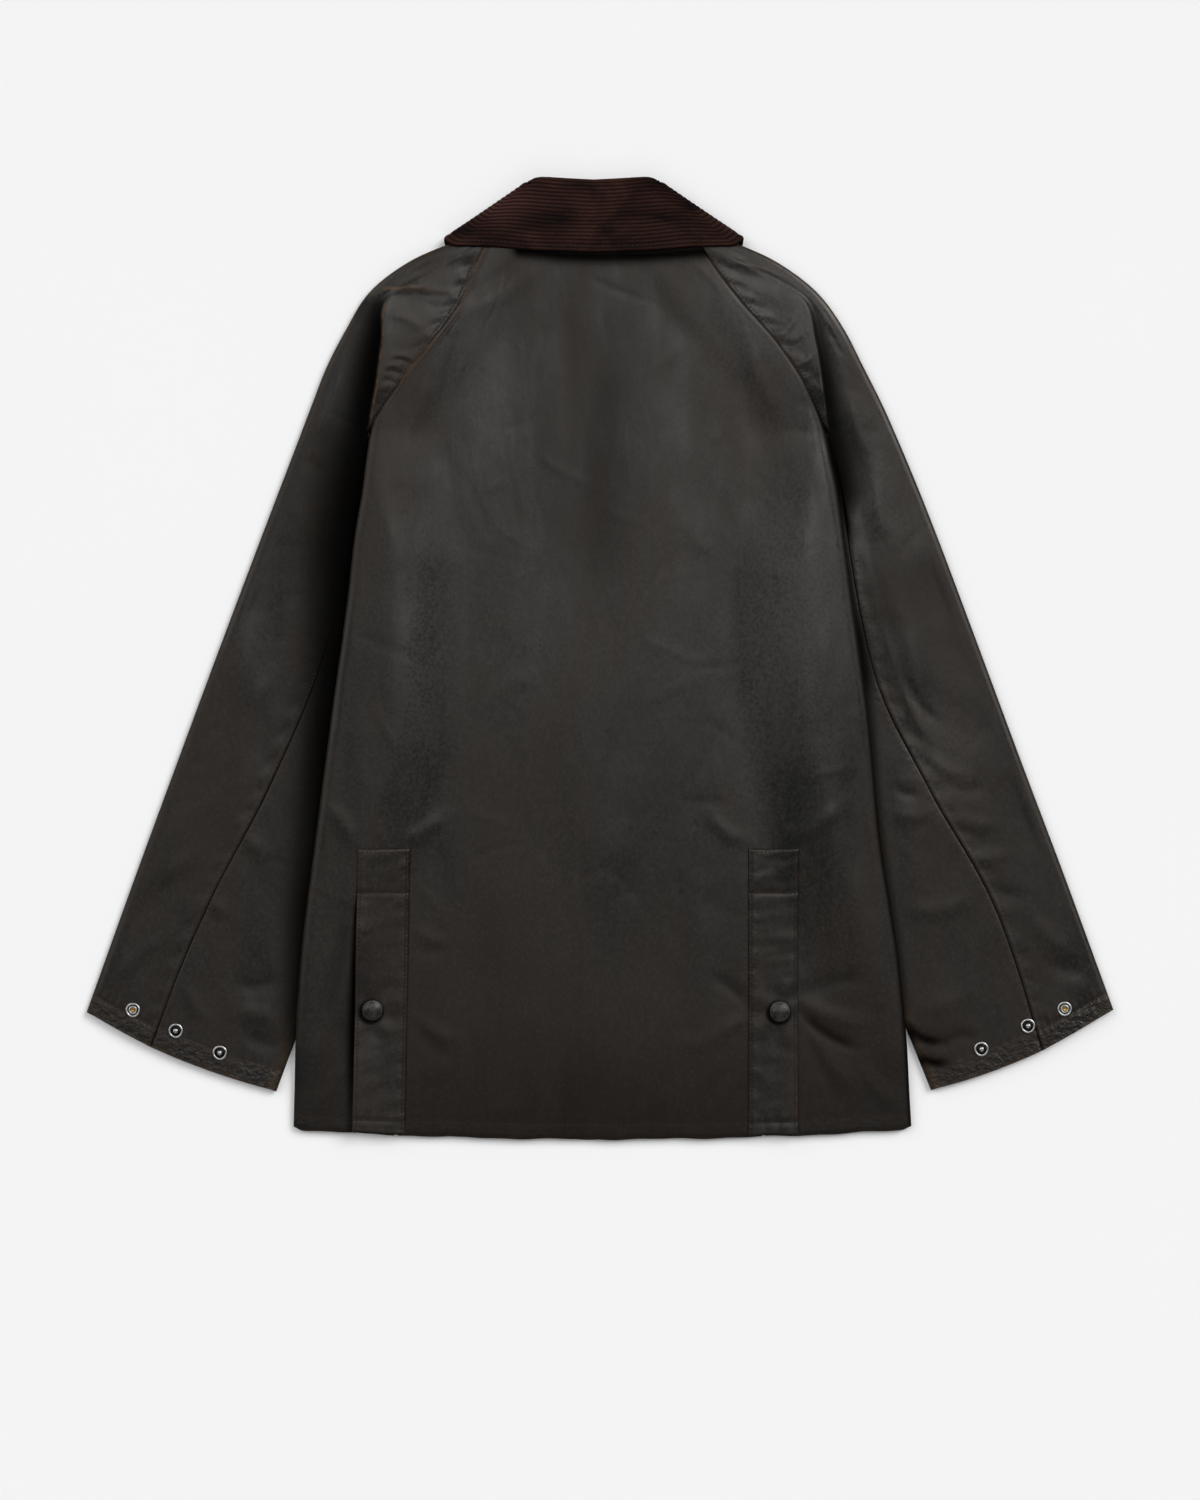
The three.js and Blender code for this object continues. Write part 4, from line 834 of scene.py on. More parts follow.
def back_sheet(rows, columns):
    """The back panel from neck to hem, with both sides rolled under."""
    y = np.concatenate([np.linspace(NECK_Y, HEM_Y + 4, rows - 4), HEM_Y + np.array([2.4, 1.2, 0.4, 0.0])])
    angle = np.radians(np.linspace(0, 90, 9)[:-1])
    rows = len(y)
    roll = mix(3, SIDE_ROLL, roll_share(y))[:, None]
    left, right = body(y, "left")[:, None], body(y, "right")[:, None]
    middle = mix(left + roll, right - roll, np.linspace(0, 1, columns)[None, :])
    x_left = left + roll * (1 - np.cos(angle))[None, :]
    x_right = right - roll * (1 - np.cos(angle[::-1]))[None, :]
    x = np.hstack([x_left, middle, x_right])
    y = np.repeat(y[:, None], x.shape[1], axis=1)
    turned = np.concatenate([np.sin(angle), np.ones(columns), np.sin(angle[::-1])])[None, :]
    z, wax, seam, worn_edge, dark = back_height(x, y)
    side_top = np.where(x < 0, back_top(left + 0 * x, y), back_top(right + 0 * x, y))
    rim = mix(side_top, body(y, "equator"), roll_share(y))
    z = mix(rim, z, turned)
    z -= 1.3 * (1 - smooth((y - HEM_Y) / 2.6))
    side_edge = np.minimum(np.abs(x - left), np.abs(x - right)) + 0.9
    worn_edge = np.where(y < UNDERARM_Y, np.minimum(worn_edge, side_edge), worn_edge)
    wax = wax + 0.3 * np.exp(-(((y - HEM_Y) / 1.5) ** 2))
    shade = 0.92 * np.exp(-((stretch_distance(x, y, COLLAR_SHADOW) / 5.5) ** 2))
    # Beside the left flap's free edge the back dips into the vent's gap, and painted shade darkens the gap.
    gape = 6 * smooth((VENT_BOX_Y - y) / 120)
    mouth = VENT_MOUTH_X + VENT_SLANT * (y - VENT_MIDDLE_Y) - x
    mouth = np.exp(-((np.clip(mouth, 0, None) / (1.2 + gape)) ** 2)) * smooth((mouth + 6) / 3)
    mouth = mouth * smooth((VENT_BOX_Y + 8 - y) / 30) * mix(0.45, 1, smooth((y - HEM_Y) / 90))
    shade = np.maximum(np.maximum(shade, 0.95 * mouth), dark)
    # Painted shade: the back grows darker towards the hem.
    shade = np.maximum(shade, HEM_PAINTED_SHADE * smooth((HEM_SHADE_START_Y - y) / (HEM_SHADE_START_Y - HEM_Y)))
    # Painted shade darkens the roll of the right side.
    shade = np.maximum(shade, roll_share(y) * (x > 0) * 0.75 * np.exp(-((side_edge - 0.9) / 3.4) ** 2))
    z = z - 1.6 * mouth * smooth((y - HEM_Y) / 12)
    u = (2 * x - left - right) / (right - left)
    y = y - hem_drop(y, u)
    gather = 0.45 * np.exp(-(((y + hem_drop(y, u) - HEM_Y - 8) / 7) ** 2))
    values = {"wax": wax, "edge": worn_edge, "seam": seam, "shade": shade, "painted_sheen_and_shade": painted_sheen_and_shade_at(x, y), "gather": gather}
    return np.dstack([x, y, z]), values


print("body surfaces ready")


# %% Surfaces of the sleeves
def sleeve_place(side, v, name):
    """A sleeve's line in plan: outer fold, visible seam, hidden fold or seam underneath."""
    if name == "outer":
        fold = OUTER_FOLD[side]
        return np.dstack([read(fold, "v", v, "x"), read(fold, "v", v, "y")])[0]
    lines = SLEEVE_LINES[side]
    arm = np.dstack([read(lines, "v", v, name + "X"), read(lines, "v", v, name + "Y")])[0]
    away = (-1 if side == "left" else 1) * (RAGLAN_GAP if name == "low" else -TUCK)
    if name == "low":
        y = mix(UNDERARM_Y, 312, v - 1)
        cap = np.dstack([read(FRONT_RAGLAN, "y", y, side) + away, y])[0]
    else:
        y = mix(UNDERARM_Y, NECK_Y, v - 1)
        cap = np.dstack([body(y, side) + away, y])[0]
    return np.where(v[:, None] <= 1, arm, cap)


def sleeve_height(v, column):
    return read(SLEEVE_TOP if column in SLEEVE_TOP else SLEEVE_UNDER, "v", v, column)


def beside_body(side, x, y):
    """How far a point lies outside the body's side."""
    return np.abs(x) - np.abs(body(y, side))


def pressed(side, x, y, z):
    """The sleeve is pressed flat where the body lies on it."""
    lift = smooth((beside_body(side, x, y) + 1) / 30)
    return np.where((y > UNDERARM_Y) | (y < -345), z, mix(np.minimum(z, UNDER_BODY), z, lift))


def cuff_swing(v, share):
    return CUFF_BOW * 4 * share * (1 - share) * smooth(1 - v / 0.1)


def sleeve_detail(side, x, y, v, from_seam, seed):
    """Creases, and the topstitched ridge along the seam."""
    creases, wax, dark = crease_field(x, y, SLEEVE_CREASES[side])
    z = 0.9 * creases + wrinkles(x, 0.7 * y, seed, 30, 0.22)
    proud = np.where((v > 1) & (side == "right"), 0.3, 1)
    z += proud * 0.4 * np.exp(-(((from_seam - 2.4) / 1.6) ** 2))
    z -= 0.3 * np.exp(-((from_seam / 1.1) ** 2))
    z += 0.3 * np.sin(y / 3.1 + 2 * np.sin(y / 23)) * np.exp(-(((from_seam - 7) / 5) ** 2))
    return z, wax, dark


def cuff_line(v, length):
    """Distance in millimetres from the cuff's hem stitching."""
    return np.abs(v * length - 13.5)


ARM_LENGTH = 548  # from cuff to underarm along the sleeve's middle
LOWER_BOW = -0.2  # the cuff's lower cloth bows the other way, and stays hidden under the upper


def sleeve_top(side, v, share, seed=7):
    """The outer sleeve's upper cloth, from its seam (share 0) to its outer fold (share 1)."""
    seam, outer = sleeve_place(side, v, "seam"), sleeve_place(side, v, "outer")
    length = np.hypot(*(outer - seam).T)[:, None]
    share = share[None, :]
    v = v[:, None]
    used = share * (1 - SLEEVE_ROLL / length)
    x = seam[:, :1] + (outer - seam)[:, :1] * used
    y = seam[:, 1:] + (outer - seam)[:, 1:] * used
    fold, half = sleeve_height(v, "fold"), BROW_HALF_WIDTH / length
    brow, valley, near = (sleeve_height(v, name) for name in ("brow", "valley", "near"))
    raglan = back_top(seam[:, :1], seam[:, 1:])
    rim = mix(raglan, body(seam[:, 1:], "equator"), roll_share(seam[:, 1:]))
    seam_z = np.where(v >= 1, rim - 1.1, sleeve_height(v, "seam"))
    rest = (share - fold - half) / (1 - fold - half)
    crown = sleeve_height(v, "crown") - (valley + near) / 2
    cap = mix(seam_z, brow, np.clip(share / np.maximum(fold - half, 1e-6), 0, 1))
    drop = mix(brow, valley, smooth((share - fold + half) / (2 * half)))
    arm = mix(valley, near, rest) + crown * 4 * rest * (1 - rest)
    z = np.where(share < fold - half, cap, np.where(share < fold + half, drop, arm))
    from_seam = used * length
    detail, wax, dark = sleeve_detail(side, x, y, v, from_seam, seed)
    z = z + detail * smooth((1 - share) * length / 9)
    hollow = valley_depth(side, x, y, share * length - fold * length, v)
    z = pressed(side, x, y, z) - 1.2 * hollow
    hem = cuff_line(v, ARM_LENGTH)
    z = z - 0.45 * np.exp(-((hem / 1.4) ** 2))
    z = z + 0.22 * np.sin(from_seam * 0.95 + 1.6 * np.sin(from_seam / 8)) * np.exp(-((hem / 7) ** 2))
    z = np.maximum(z, 2 * CLOTH + 0.35)
    shown = smooth((v - 1.0) / 0.05) * smooth((1.64 - v) / 0.06) * (side == "left")
    brow_edge = np.abs(share - fold + half) * length + 60 * (1 - shown)
    wax = wax + 0.3 * np.exp(-((v * ARM_LENGTH / 1.6) ** 2))
    y = y - cuff_swing(v, 0.3 * (1 - share))
    faint = 0.62 if side == "left" else 0.25
    seam_mm = np.minimum(from_seam + faint + 0 * v, hem + 0.4)
    # Painted shade near the seam at the underarm, dark over the gap there.
    armpit = smooth((v - 0.78) / 0.06) * smooth((1.04 - v) / 0.04) * np.exp(-((from_seam / 5) ** 2))
    # Painted shade: black in the fold beside the body and in the deep creases.
    shade = np.maximum(np.maximum(0.9 * hollow, dark), 0.97 * armpit)
    gather = smooth((15 - v * ARM_LENGTH) / 4) + 0.16 * np.exp(-(((from_seam - 3) / 4) ** 2))
    values = {"wax": wax, "edge": brow_edge, "seam": seam_mm, "shade": shade, "painted_sheen_and_shade": painted_sheen_and_shade_at(x, y), "gather": gather}
    return np.dstack([x, y, z]), values


FOLD_SHADE = {
    "left": table(
        "y reach depth",
        (300, 6, 0.0),
        (288, 14, 0.8),
        (261, 20, 1.0),
        (210, 28, 1.0),
        (150, 40, 1.0),
        (100, 42, 1.0),
        (30, 34, 1.0),
        (-60, 26, 0.95),
        (-200, 20, 0.8),
        (-300, 12, 0.7),
        (-390, 8, 0.5),
    ),
    "right": table(
        "y reach depth",
        (300, 3, 0.0),
        (270, 8, 0.6),
        (210, 14, 0.9),
        (170, 23, 0.95),
        (138, 21, 0.95),
        (116, 9, 0.8),
        (96, 4, 0.6),
        (50, 4, 0.6),
        (16, 8, 0.85),
        (-10, 9, 0.85),
        (-40, 5, 0.6),
        (-120, 4, 0.5),
        (-390, 4, 0.4),
    ),
}


def valley_depth(side, x, y, from_fold, v):
    """How deep a point of the sleeve lies in the dark fold beside the body, from 0 to 1."""
    reach = read(FOLD_SHADE[side], "y", y, "reach")
    depth = read(FOLD_SHADE[side], "y", y, "depth")
    outside = np.where(v < 1, beside_body(side, x, y), from_fold)
    shaded = depth * np.exp(-((np.clip(outside, 0, None) / reach) ** 2.4))
    return shaded * smooth((outside + 4) / 4) * smooth((1.72 - v) / 0.16)


def outer_sleeve_sheet(side, rows, seed):
    """The whole outer sleeve: over the top, round the outer fold, and back underneath."""
    cuff = np.concatenate([[0, 0.0008, 0.002, 0.005], np.linspace(0.008, 0.04, 12)])
    v = np.concatenate([cuff, np.linspace(0.047, 2, rows - 16)])
    top, values = sleeve_top(side, v, np.linspace(0, 1, 64), seed)
    seam, outer, low = (sleeve_place(side, v, name) for name in ("seam", "outer", "low"))
    towards = (seam - outer) / np.hypot(*(seam - outer).T)[:, None]
    under = (low - outer) / np.hypot(*(low - outer).T)[:, None]
    equator = sleeve_height(v, "equator")

    def ring(way, reach, z):
        place = outer + way * reach
        return np.dstack([place[:, 0], place[:, 1], z])[0]

    columns = [ring(towards, SLEEVE_ROLL * (1 - math.cos(a)), mix(equator, top[:, -1, 2], math.sin(a)))
               for a in np.radians([78, 66, 54, 42, 30, 18, 8, 0])]

    def floor(x, y, share):
        neck = NECK_LIFT * smooth((v - 1.6) / 0.4) * (1 - share)
        return collar_lift(x, y) + neck + sleeve_height(v, "low") * share**2

    for a in np.radians([12, 26, 42, 58, 74, 90]):
        reach = SLEEVE_ROLL * (1 - math.cos(a))
        place = outer + under * reach
        columns.append(ring(under, reach, mix(equator, floor(place[:, 0], place[:, 1], 0), math.sin(a))))
    start = outer + under * SLEEVE_ROLL
    for share in np.linspace(0, 1, 18)[1:]:
        place = mix(start, low, share)
        z = floor(place[:, 0], place[:, 1], np.clip((share - 0.4) / 0.6, 0, 1))
        columns.append(np.dstack([place[:, 0], place[:, 1] - LOWER_BOW * cuff_swing(v, 0.5 * share), z])[0])
    points = np.concatenate([top, np.stack(columns, axis=1)], axis=1)
    extra = len(columns)
    values = {name: np.pad(value + 0 * top[:, :, 2], ((0, 0), (0, extra)), "edge") for name, value in values.items()}
    values["seam"][:, top.shape[1]:] = np.abs(v * ARM_LENGTH - 13.5)[:, None] + 0.4
    values["edge"][:, top.shape[1]:] = 60
    crest = np.exp(-(((np.arange(extra) - 5) / 2.2) ** 2))
    values["wax"][:, top.shape[1]:] = (0.35 + 0.5 * smooth((v - 0.85) / 0.4))[:, None] * crest
    return points, values


def under_sleeve_top(side, v, share, seed=11):
    """The undersleeve's upper cloth, from the visible seam (share 0) to the hidden fold's roll."""
    inner, seam = sleeve_place(side, v, "inner"), sleeve_place(side, v, "seam")
    span = np.hypot(*(inner - seam).T)[:, None]
    inwards = (inner - seam) / span
    roll = np.minimum(INNER_ROLL, 0.45 * span)
    start = seam - inwards * TUCK
    end = inner - inwards * roll
    share = share[None, :]
    v = v[:, None]
    x = mix(start[:, :1], end[:, :1], share)
    y = mix(start[:, 1:], end[:, 1:], share)
    rise = mix(sleeve_height(v, "seam"), sleeve_height(v, "innerNear"), share**1.3)
    from_seam = share * span
    detail, wax, dark = sleeve_detail(side, x, y, v, from_seam + 30, seed)
    detail = detail - 0.8 * np.exp(-((from_seam / 1.6) ** 2))
    z = rise + detail * smooth((1 - share) * span / 9)
    hollow = valley_depth(side, x, y, 0 * x + 99, v)
    z = pressed(side, x, y, z) - 1.0 * hollow
    hem = cuff_line(v, ARM_LENGTH)
    z = z - 0.45 * np.exp(-((hem / 1.4) ** 2))
    z = z + 0.22 * np.sin(from_seam * 0.9 + 1.6 * np.sin(from_seam / 7)) * np.exp(-((hem / 7) ** 2))
    z = np.maximum(z, 2 * CLOTH + 0.3)
    wax = wax + 0.3 * np.exp(-((v * ARM_LENGTH / 2.5) ** 2)) + 0.3 * np.exp(-(((1 - share) * span / 4) ** 2))
    y = y - cuff_swing(v, mix(0.3, 1, share))
    # Painted shade: black in the fold beside the body and in the deep creases.
    shade = np.maximum(0.9 * hollow, dark)
    gather = smooth((15 - v * ARM_LENGTH) / 4) + 0.16 * np.exp(-(((from_seam - 3) / 4) ** 2))
    seam_mm = np.minimum(from_seam, hem + 0.4)
    values = {"wax": wax, "seam": seam_mm, "shade": shade, "painted_sheen_and_shade": painted_sheen_and_shade_at(x, y), "gather": gather}
    return np.dstack([x, y, z]), values


def under_sleeve_sheet(side, rows):
    v = np.concatenate([[0, 0.0008, 0.002, 0.005], np.linspace(0.01, UNDERSLEEVE_END, rows - 4)])
    top, values = under_sleeve_top(side, v, np.linspace(0, 1, 44))
    inner, seam, low = (sleeve_place(side, v, name) for name in ("inner", "seam", "low"))
    span = np.hypot(*(seam - inner).T)[:, None]
    outwards = (seam - inner) / span
    roll = np.minimum(INNER_ROLL, 0.45 * span)
    equator = sleeve_height(v, "innerEquator")
    columns = []
    for degrees in (70, 50, 32, 15, 0, -15, -32, -50, -70, -90):
        a = math.radians(degrees)
        place = inner + outwards * roll * (1 - math.cos(a))
        target = top[:, -1, 2] if degrees > 0 else 0
        y = place[:, 1] - cuff_swing(v, 1.0)
        columns.append(np.dstack([place[:, 0], y, mix(equator, target, abs(math.sin(a)))])[0])
    gap = SEAM_GAP + 0.1
    end = low + (inner - low) / np.hypot(*(inner - low).T)[:, None] * gap
    start = inner + outwards * roll
    for share in np.linspace(0, 1, 8)[1:]:
        place = mix(start, end, share)
        y = place[:, 1] - LOWER_BOW * cuff_swing(v, mix(1, 0.5, share))
        columns.append(np.dstack([place[:, 0], y, sleeve_height(v, "low") * share**2])[0])
    points = np.concatenate([top, np.stack(columns, axis=1)], axis=1)
    extra = len(columns)
    values = {name: np.pad(value + 0 * top[:, :, 2], ((0, 0), (0, extra)), "edge") for name, value in values.items()}
    values["seam"][:, top.shape[1]:] = np.abs(v * ARM_LENGTH - 13.5)[:, None] + 0.4
    return points, values


print("sleeve surfaces ready")


# %% Surfaces of the fronts
def front_sheet(side, rows, columns):
    """A front's underside, from the fly to where its side rolls up to meet the back."""
    sign = -1 if side == "left" else 1
    y_side = np.concatenate([HEM_Y + np.array([0, 0.5, 1.4, 3]), np.linspace(HEM_Y + 6, 312, rows - 4)])[:, None]
    share_up = np.clip((y_side - UNDERARM_Y) / (312 - UNDERARM_Y), 0, 1)
    y_middle = np.where(y_side <= UNDERARM_Y, y_side, mix(UNDERARM_Y, FRONT_NECK_Y, share_up))
    edge = np.abs(np.where(y_side <= UNDERARM_Y, body(y_side, side), read(FRONT_RAGLAN, "y", y_side, side)))
    rolled = roll_share(y_side)
    roll = mix(3, SIDE_ROLL, rolled)
    across = np.linspace(0, 1, columns)[None, :]
    distance = mix(SEAM_GAP / 2, edge - roll, across)

    def place(distance):
        share = distance / edge
        y = mix(y_middle, y_side, share**1.4) - hem_drop(y_side, share)
        return sign * distance, y

    x, y = place(distance)
    fold = np.minimum(hidden_fold(side, y_side), edge)
    sleeve = body(y_side, "lift") * smooth((LIFT_START - fold + distance) / (LIFT_START - LIFT_FULL))
    fly = FLY_LIFT * smooth((FLY_RAMP - distance) / (FLY_RAMP - FLY_CLEAR))
    z = np.maximum(np.maximum(sleeve, fly), collar_lift(x, y))
    creases = np.abs(wrinkles(x, y, 19, 60, 0.8)) * smooth((distance - 60) / 30) * smooth((y_side + 366) / 20)
    z = z + 0.6 * creases
    parts = [np.dstack([x, y, z])]
    meet = mix(z[:, -1:], body(y_side, "equator") - SEAM_GAP, rolled)
    for degrees in (78, 64, 50, 36, 24, 12, 0):
        a = math.radians(degrees)
        x, y = place(edge - roll * (1 - math.cos(a)))
        parts.append(np.dstack([x, y, mix(meet, z[:, -1:], math.sin(a))]))
    points = np.concatenate(parts, axis=1)
    seam = np.abs(points[:, :, 1] - HEM_Y - 11.5) + 0.4
    wax = 0.4 * np.exp(-(((edge - np.abs(points[:, :, 0])) / 3) ** 2))
    return points, {"wax": wax, "seam": seam}


def fly_sheet():
    y = np.linspace(HEM_Y, 252, 130)[:, None]
    x = np.linspace(-26, 26, 15)[None, :] + 0 * y
    z = 0.25 * smooth((np.abs(x) - 22) / 4)
    points = np.dstack([x, y - hem_drop(y, x / 255) + 0 * x, z])
    return points, {"wax": 0.4 * smooth((np.abs(x) - 23) / 3), "seam": np.abs(np.abs(x) - 20)}


print("front surfaces ready")

# %% [markdown]
# Making the cloth
#
# A flat grid of the right number of squares is laid out, and its points are moved to the
# surface. A Solidify modifier then gives the cloth its thickness, inwards from what shows.


# %% Cloth maker
CLOTH_VALUES = {"wax": (0, 1), "edge": (60, 60), "seam": (60, 60), "shade": (0, 1), "groove": (0, 1), "painted_sheen_and_shade": (0, 1), "gather": (0, 1)}
LOWEST = {"painted_sheen_and_shade": -1}


def cloth(name, points, values, thickness, material, inwards, keep=None):
    """A shell of cloth on a grid of points. inwards is 1 or -1, whichever side is the inside."""
    rows, columns = points.shape[:2]
    bm = bmesh.new()
    bmesh.ops.create_grid(bm, x_segments=columns - 1, y_segments=rows - 1, size=0.5)
    mesh = bpy.data.meshes.new(name)
    bm.to_mesh(mesh)
    bm.free()
    flat = np.zeros(len(mesh.vertices) * 3)
    mesh.vertices.foreach_get("co", flat)
    flat = flat.reshape(-1, 3)
    j = np.rint((flat[:, 0] + 0.5) * (columns - 1)).astype(int)
    i = np.rint((flat[:, 1] + 0.5) * (rows - 1)).astype(int)
    mesh.vertices.foreach_set("co", (points[i, j] * MM).ravel())
    for key, (usual, most) in CLOTH_VALUES.items():
        layer = mesh.attributes.new(key, "FLOAT", "POINT")
        value = values.get(key, usual) + np.zeros((rows, columns))
        layer.data.foreach_set("value", np.clip(value[i, j], LOWEST.get(key, 0), most))
    bm = bmesh.new()
    bm.from_mesh(mesh)
    if keep is not None:
        gone = [f for f in bm.faces if not keep(f.calc_center_median() / MM)]
        bmesh.ops.delete(bm, geom=gone, context="FACES")
    bm.normal_update()
    if inwards < 0:
        bmesh.ops.reverse_faces(bm, faces=bm.faces[:])
    bm.to_mesh(mesh)
    bm.free()
    mesh.shade_smooth()
    mesh.materials.append(material)
    piece = bpy.data.objects.new(name, mesh)
    bpy.context.collection.objects.link(piece)
    shell = piece.modifiers.new("thickness", "SOLIDIFY")
    shell.thickness = thickness * MM
    shell.offset = -1
    shell.use_even_offset = False
    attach(piece, "root")
    return piece


VENTS = table(
    "outerX innerX slitX studX studY opening",
    (-200, -157, -168, -186, -288, 5.5),
    (162, 121, 133, 147, -289, 0.6),
)
VENT_TOP_Y = -156
VENT_BOX_Y = -192


def off_the_slits(place):
    low = place.y < (VENT_TOP_Y + VENT_BOX_Y) / 2
    return not (low and min(abs(place.x - x) for x in VENTS["slitX"]) < 1.6)


points, values = back_sheet(246, 160)
cloth_back = cloth("cloth_back", points, values, CLOTH, WAXED, -1, off_the_slits)
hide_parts("back_panel")
print("back panel of", len(cloth_back.data.polygons), "squares")

# %% Fronts, fly and sleeves
fronts, sleeves, undersleeves = {}, {}, {}
for side, way in (("left", 1), ("right", -1)):
    points, values = front_sheet(side, 150, 44)
    fronts[side] = cloth("cloth_front_" + side, points, values, CLOTH, WAXED, way)
    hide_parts("front_" + side)
    points, values = outer_sleeve_sheet(side, 240, 7 if side == "left" else 8)
    sleeves[side] = cloth("cloth_sleeve_" + side, points, values, CLOTH, WAXED, -way)
    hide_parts("sleeve_" + side)
    points, values = under_sleeve_sheet(side, 170)
    undersleeves[side] = cloth("cloth_undersleeve_" + side, points, values, CLOTH, WAXED, way)
    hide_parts("undersleeve_" + side)

points, values = fly_sheet()
cloth_fly = cloth("cloth_fly", points, values, CLOTH - 0.1, WAXED, -1)
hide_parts("front_fly")
print("fronts, fly, sleeves and undersleeves made")

# %% [markdown]
# The vents
#
# Each flap is a strip on the back panel, stitched down along one side and in a box at its top.
# Its stud holds it near the middle. The left one gapes a little below and above its stud.


# %% Vent flaps
VENT_CLOTH = 1.6
VENT_GAP = 0.45


def vent_height(n, x, y):
    """The top of a vent flap, with its own small puckers."""
    inner, outer = VENTS["innerX"][n], VENTS["outerX"][n]
    stud_x, stud_y, opening = VENTS["studX"][n], VENTS["studY"][n], VENTS["opening"][n]
    out = np.clip((x - inner) / (outer - inner), 0, 1)
    pinned = 1 - np.exp(-(((y - stud_y) / 26) ** 2))
    mouth = mix(0.55, 1, smooth((stud_y - y) / 90))
    lift = opening * out**2 * smooth((VENT_BOX_Y - y) / 40) * pinned * mouth
    below = back_height(x, y)[0]
    near = np.hypot(x - stud_x, y - stud_y)
    angle = np.arctan2(y - stud_y, x - stud_x)
    drag = 0.4 * np.sin(5 * angle + 1.2 * n) * np.exp(-(((near - 20) / 9) ** 2))
    pucker = 0.08 * wrinkles(x, y * 1.8, 31 + n, 13, 1.2)
    line = -0.4 * np.exp(-(((y - VENT_BOX_Y) / 1.5) ** 2))
    return below + VENT_GAP + VENT_CLOTH + 0.25 + lift + drag + pucker + line


def vent_slant(n, y):
    """The left flap leans a little towards the hem."""
    return VENT_SLANT * (y - VENT_MIDDLE_Y) * (n == 0)


def vent_sheet(n):
    near_top = VENT_TOP_Y - np.array([0, 0.5, 1.5])
    y = np.concatenate([near_top, np.linspace(VENT_TOP_Y - 3, HEM_Y + 1.5, 130)])
    low, high = sorted((VENTS["innerX"][n], VENTS["outerX"][n]))
    x = np.concatenate([[low, low + 0.5, low + 1.5], np.linspace(low + 3, high - 3, 20), [high - 1.5, high - 0.5, high]])
    x, y = np.meshgrid(x, y)
    middle = (body(y, "left") + body(y, "right")) / 2
    u = (x - middle) / (body(y, "right") - middle)
    edge = np.minimum(np.minimum(x - low, high - x), VENT_TOP_Y - y)
    sewn = np.abs(x - VENTS["innerX"][n])
    z = vent_height(n, x, y) - 0.9 * np.exp(-edge / 0.8) - 1.2 * np.exp(-sewn / 2.2)
    z = z + 0.14 * np.sin(y / 2.7 + 2 * np.sin(y / 31)) * np.exp(-(((sewn - 5) / 4) ** 2))
    lines = np.minimum(np.abs(np.minimum(x - low, high - x) - 2.6), np.abs(y - VENT_BOX_Y))
    wax = 0.25 * np.exp(-((edge / 1.2) ** 2))
    # A ring of painted shadow on the flap round the stud's cap.
    from_stud = np.hypot(x - VENTS["studX"][n] + 1, y - VENTS["studY"][n] + 1.5)
    shade = 0.85 * np.exp(-(((from_stud - 8.5) / 2) ** 2))
    gather = 0.22 * np.exp(-(((sewn - 4) / 4) ** 2))
    values = {"wax": wax, "seam": lines + 0.3, "shade": shade, "painted_sheen_and_shade": 0.5 * painted_sheen_and_shade_at(x, y), "gather": gather}
    return np.dstack([x + vent_slant(n, y), y - hem_drop(y, u), z]), values


for n, side in enumerate(("left", "right")):
    points, values = vent_sheet(n)
    flap = cloth("cloth_vent_" + side, points, values, VENT_CLOTH, WAXED, -1)
    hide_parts("vent_flap_" + side)

# %% [markdown]
# The collar
#
# The collar is one ribbon that rounds the neck: its fall rolls over the stand's top edge. The
# table gives half of it, from its front end underneath to the middle of the back. Eighteen
# wales run along the fall, each a rounded rib.

# %% Collar
COLLAR = table(
    "rollX rollY edgeX edgeY neckX neckY turn",
    (3, 279, 86, 250, 3, 268, 0.0),
    (24, 308, 103, 272, 42, 282, 0.0),
    (42, 350, 115, 302, 78, 300, 0.0),
    (51.5, 383, 120, 330, 94, 326, 0.0),
    (53.0, 382.6, 120, 336.5, 95, 341, 0.25),
    (53.5, 382.2, 119.7, 338.4, 95, 346, 0.5),
    (52.2, 385.3, 119.7, 338.4, 93, 345, 0.75),
    (51.0, 390.6, 114, 336.5, 86, 341, 1.0),
    (42, 393.2, 86, 336, 66, 339.5, 1.0),
    (20, 392, 44, 332.5, 33, 339, 1.0),
    (0, 391, 0, 331.5, 0, 338.8, 1.0),
)
COLLAR["row"] = np.arange(len(COLLAR["turn"]), dtype=float)
COLLAR_BACK_Z = 9.0
COLLAR_FRONT_Z = 3.2
COLLAR_BULGE = 4
ROLL_RADIUS = 3.2
CORDUROY = 2.0
WALES = 18
WALE_HEIGHT = 0.8


def collar_stations(per_row):
    """Places round the collar, from one front end to the other."""
    last = COLLAR["row"][-1]
    t = np.linspace(0, last, int(last * per_row) + 1)
    half = {name: read(COLLAR, "row", t, name) for name in COLLAR}
    slant = np.column_stack([half["rollY"] - half["edgeY"], half["edgeX"] - half["rollX"]])
    slant /= np.hypot(*slant.T)[:, None]
    angle = mix(-math.pi / 2, math.pi / 2, half["turn"])
    level = mix(COLLAR_FRONT_Z, COLLAR_BACK_Z, (1 + np.sin(angle)) / 2)
    bulge = COLLAR_BULGE * np.cos(angle)

    def place(name, sign):
        x = COLLAR_X + sign * (half[name + "X"] + slant[:, 0] * bulge)
        return np.column_stack([x, half[name + "Y"] + slant[:, 1] * bulge, level])

    ends = {}
    for sign in (-1, 1):
        facing = np.column_stack([sign * slant[:, 0] * np.cos(angle), slant[:, 1] * np.cos(angle), np.sin(angle)])
        ends[sign] = [place("roll", sign), place("edge", sign), place("neck", sign), facing]
    return [np.concatenate([a, b[::-1][1:]]) for a, b in zip(ends[-1], ends[1])]


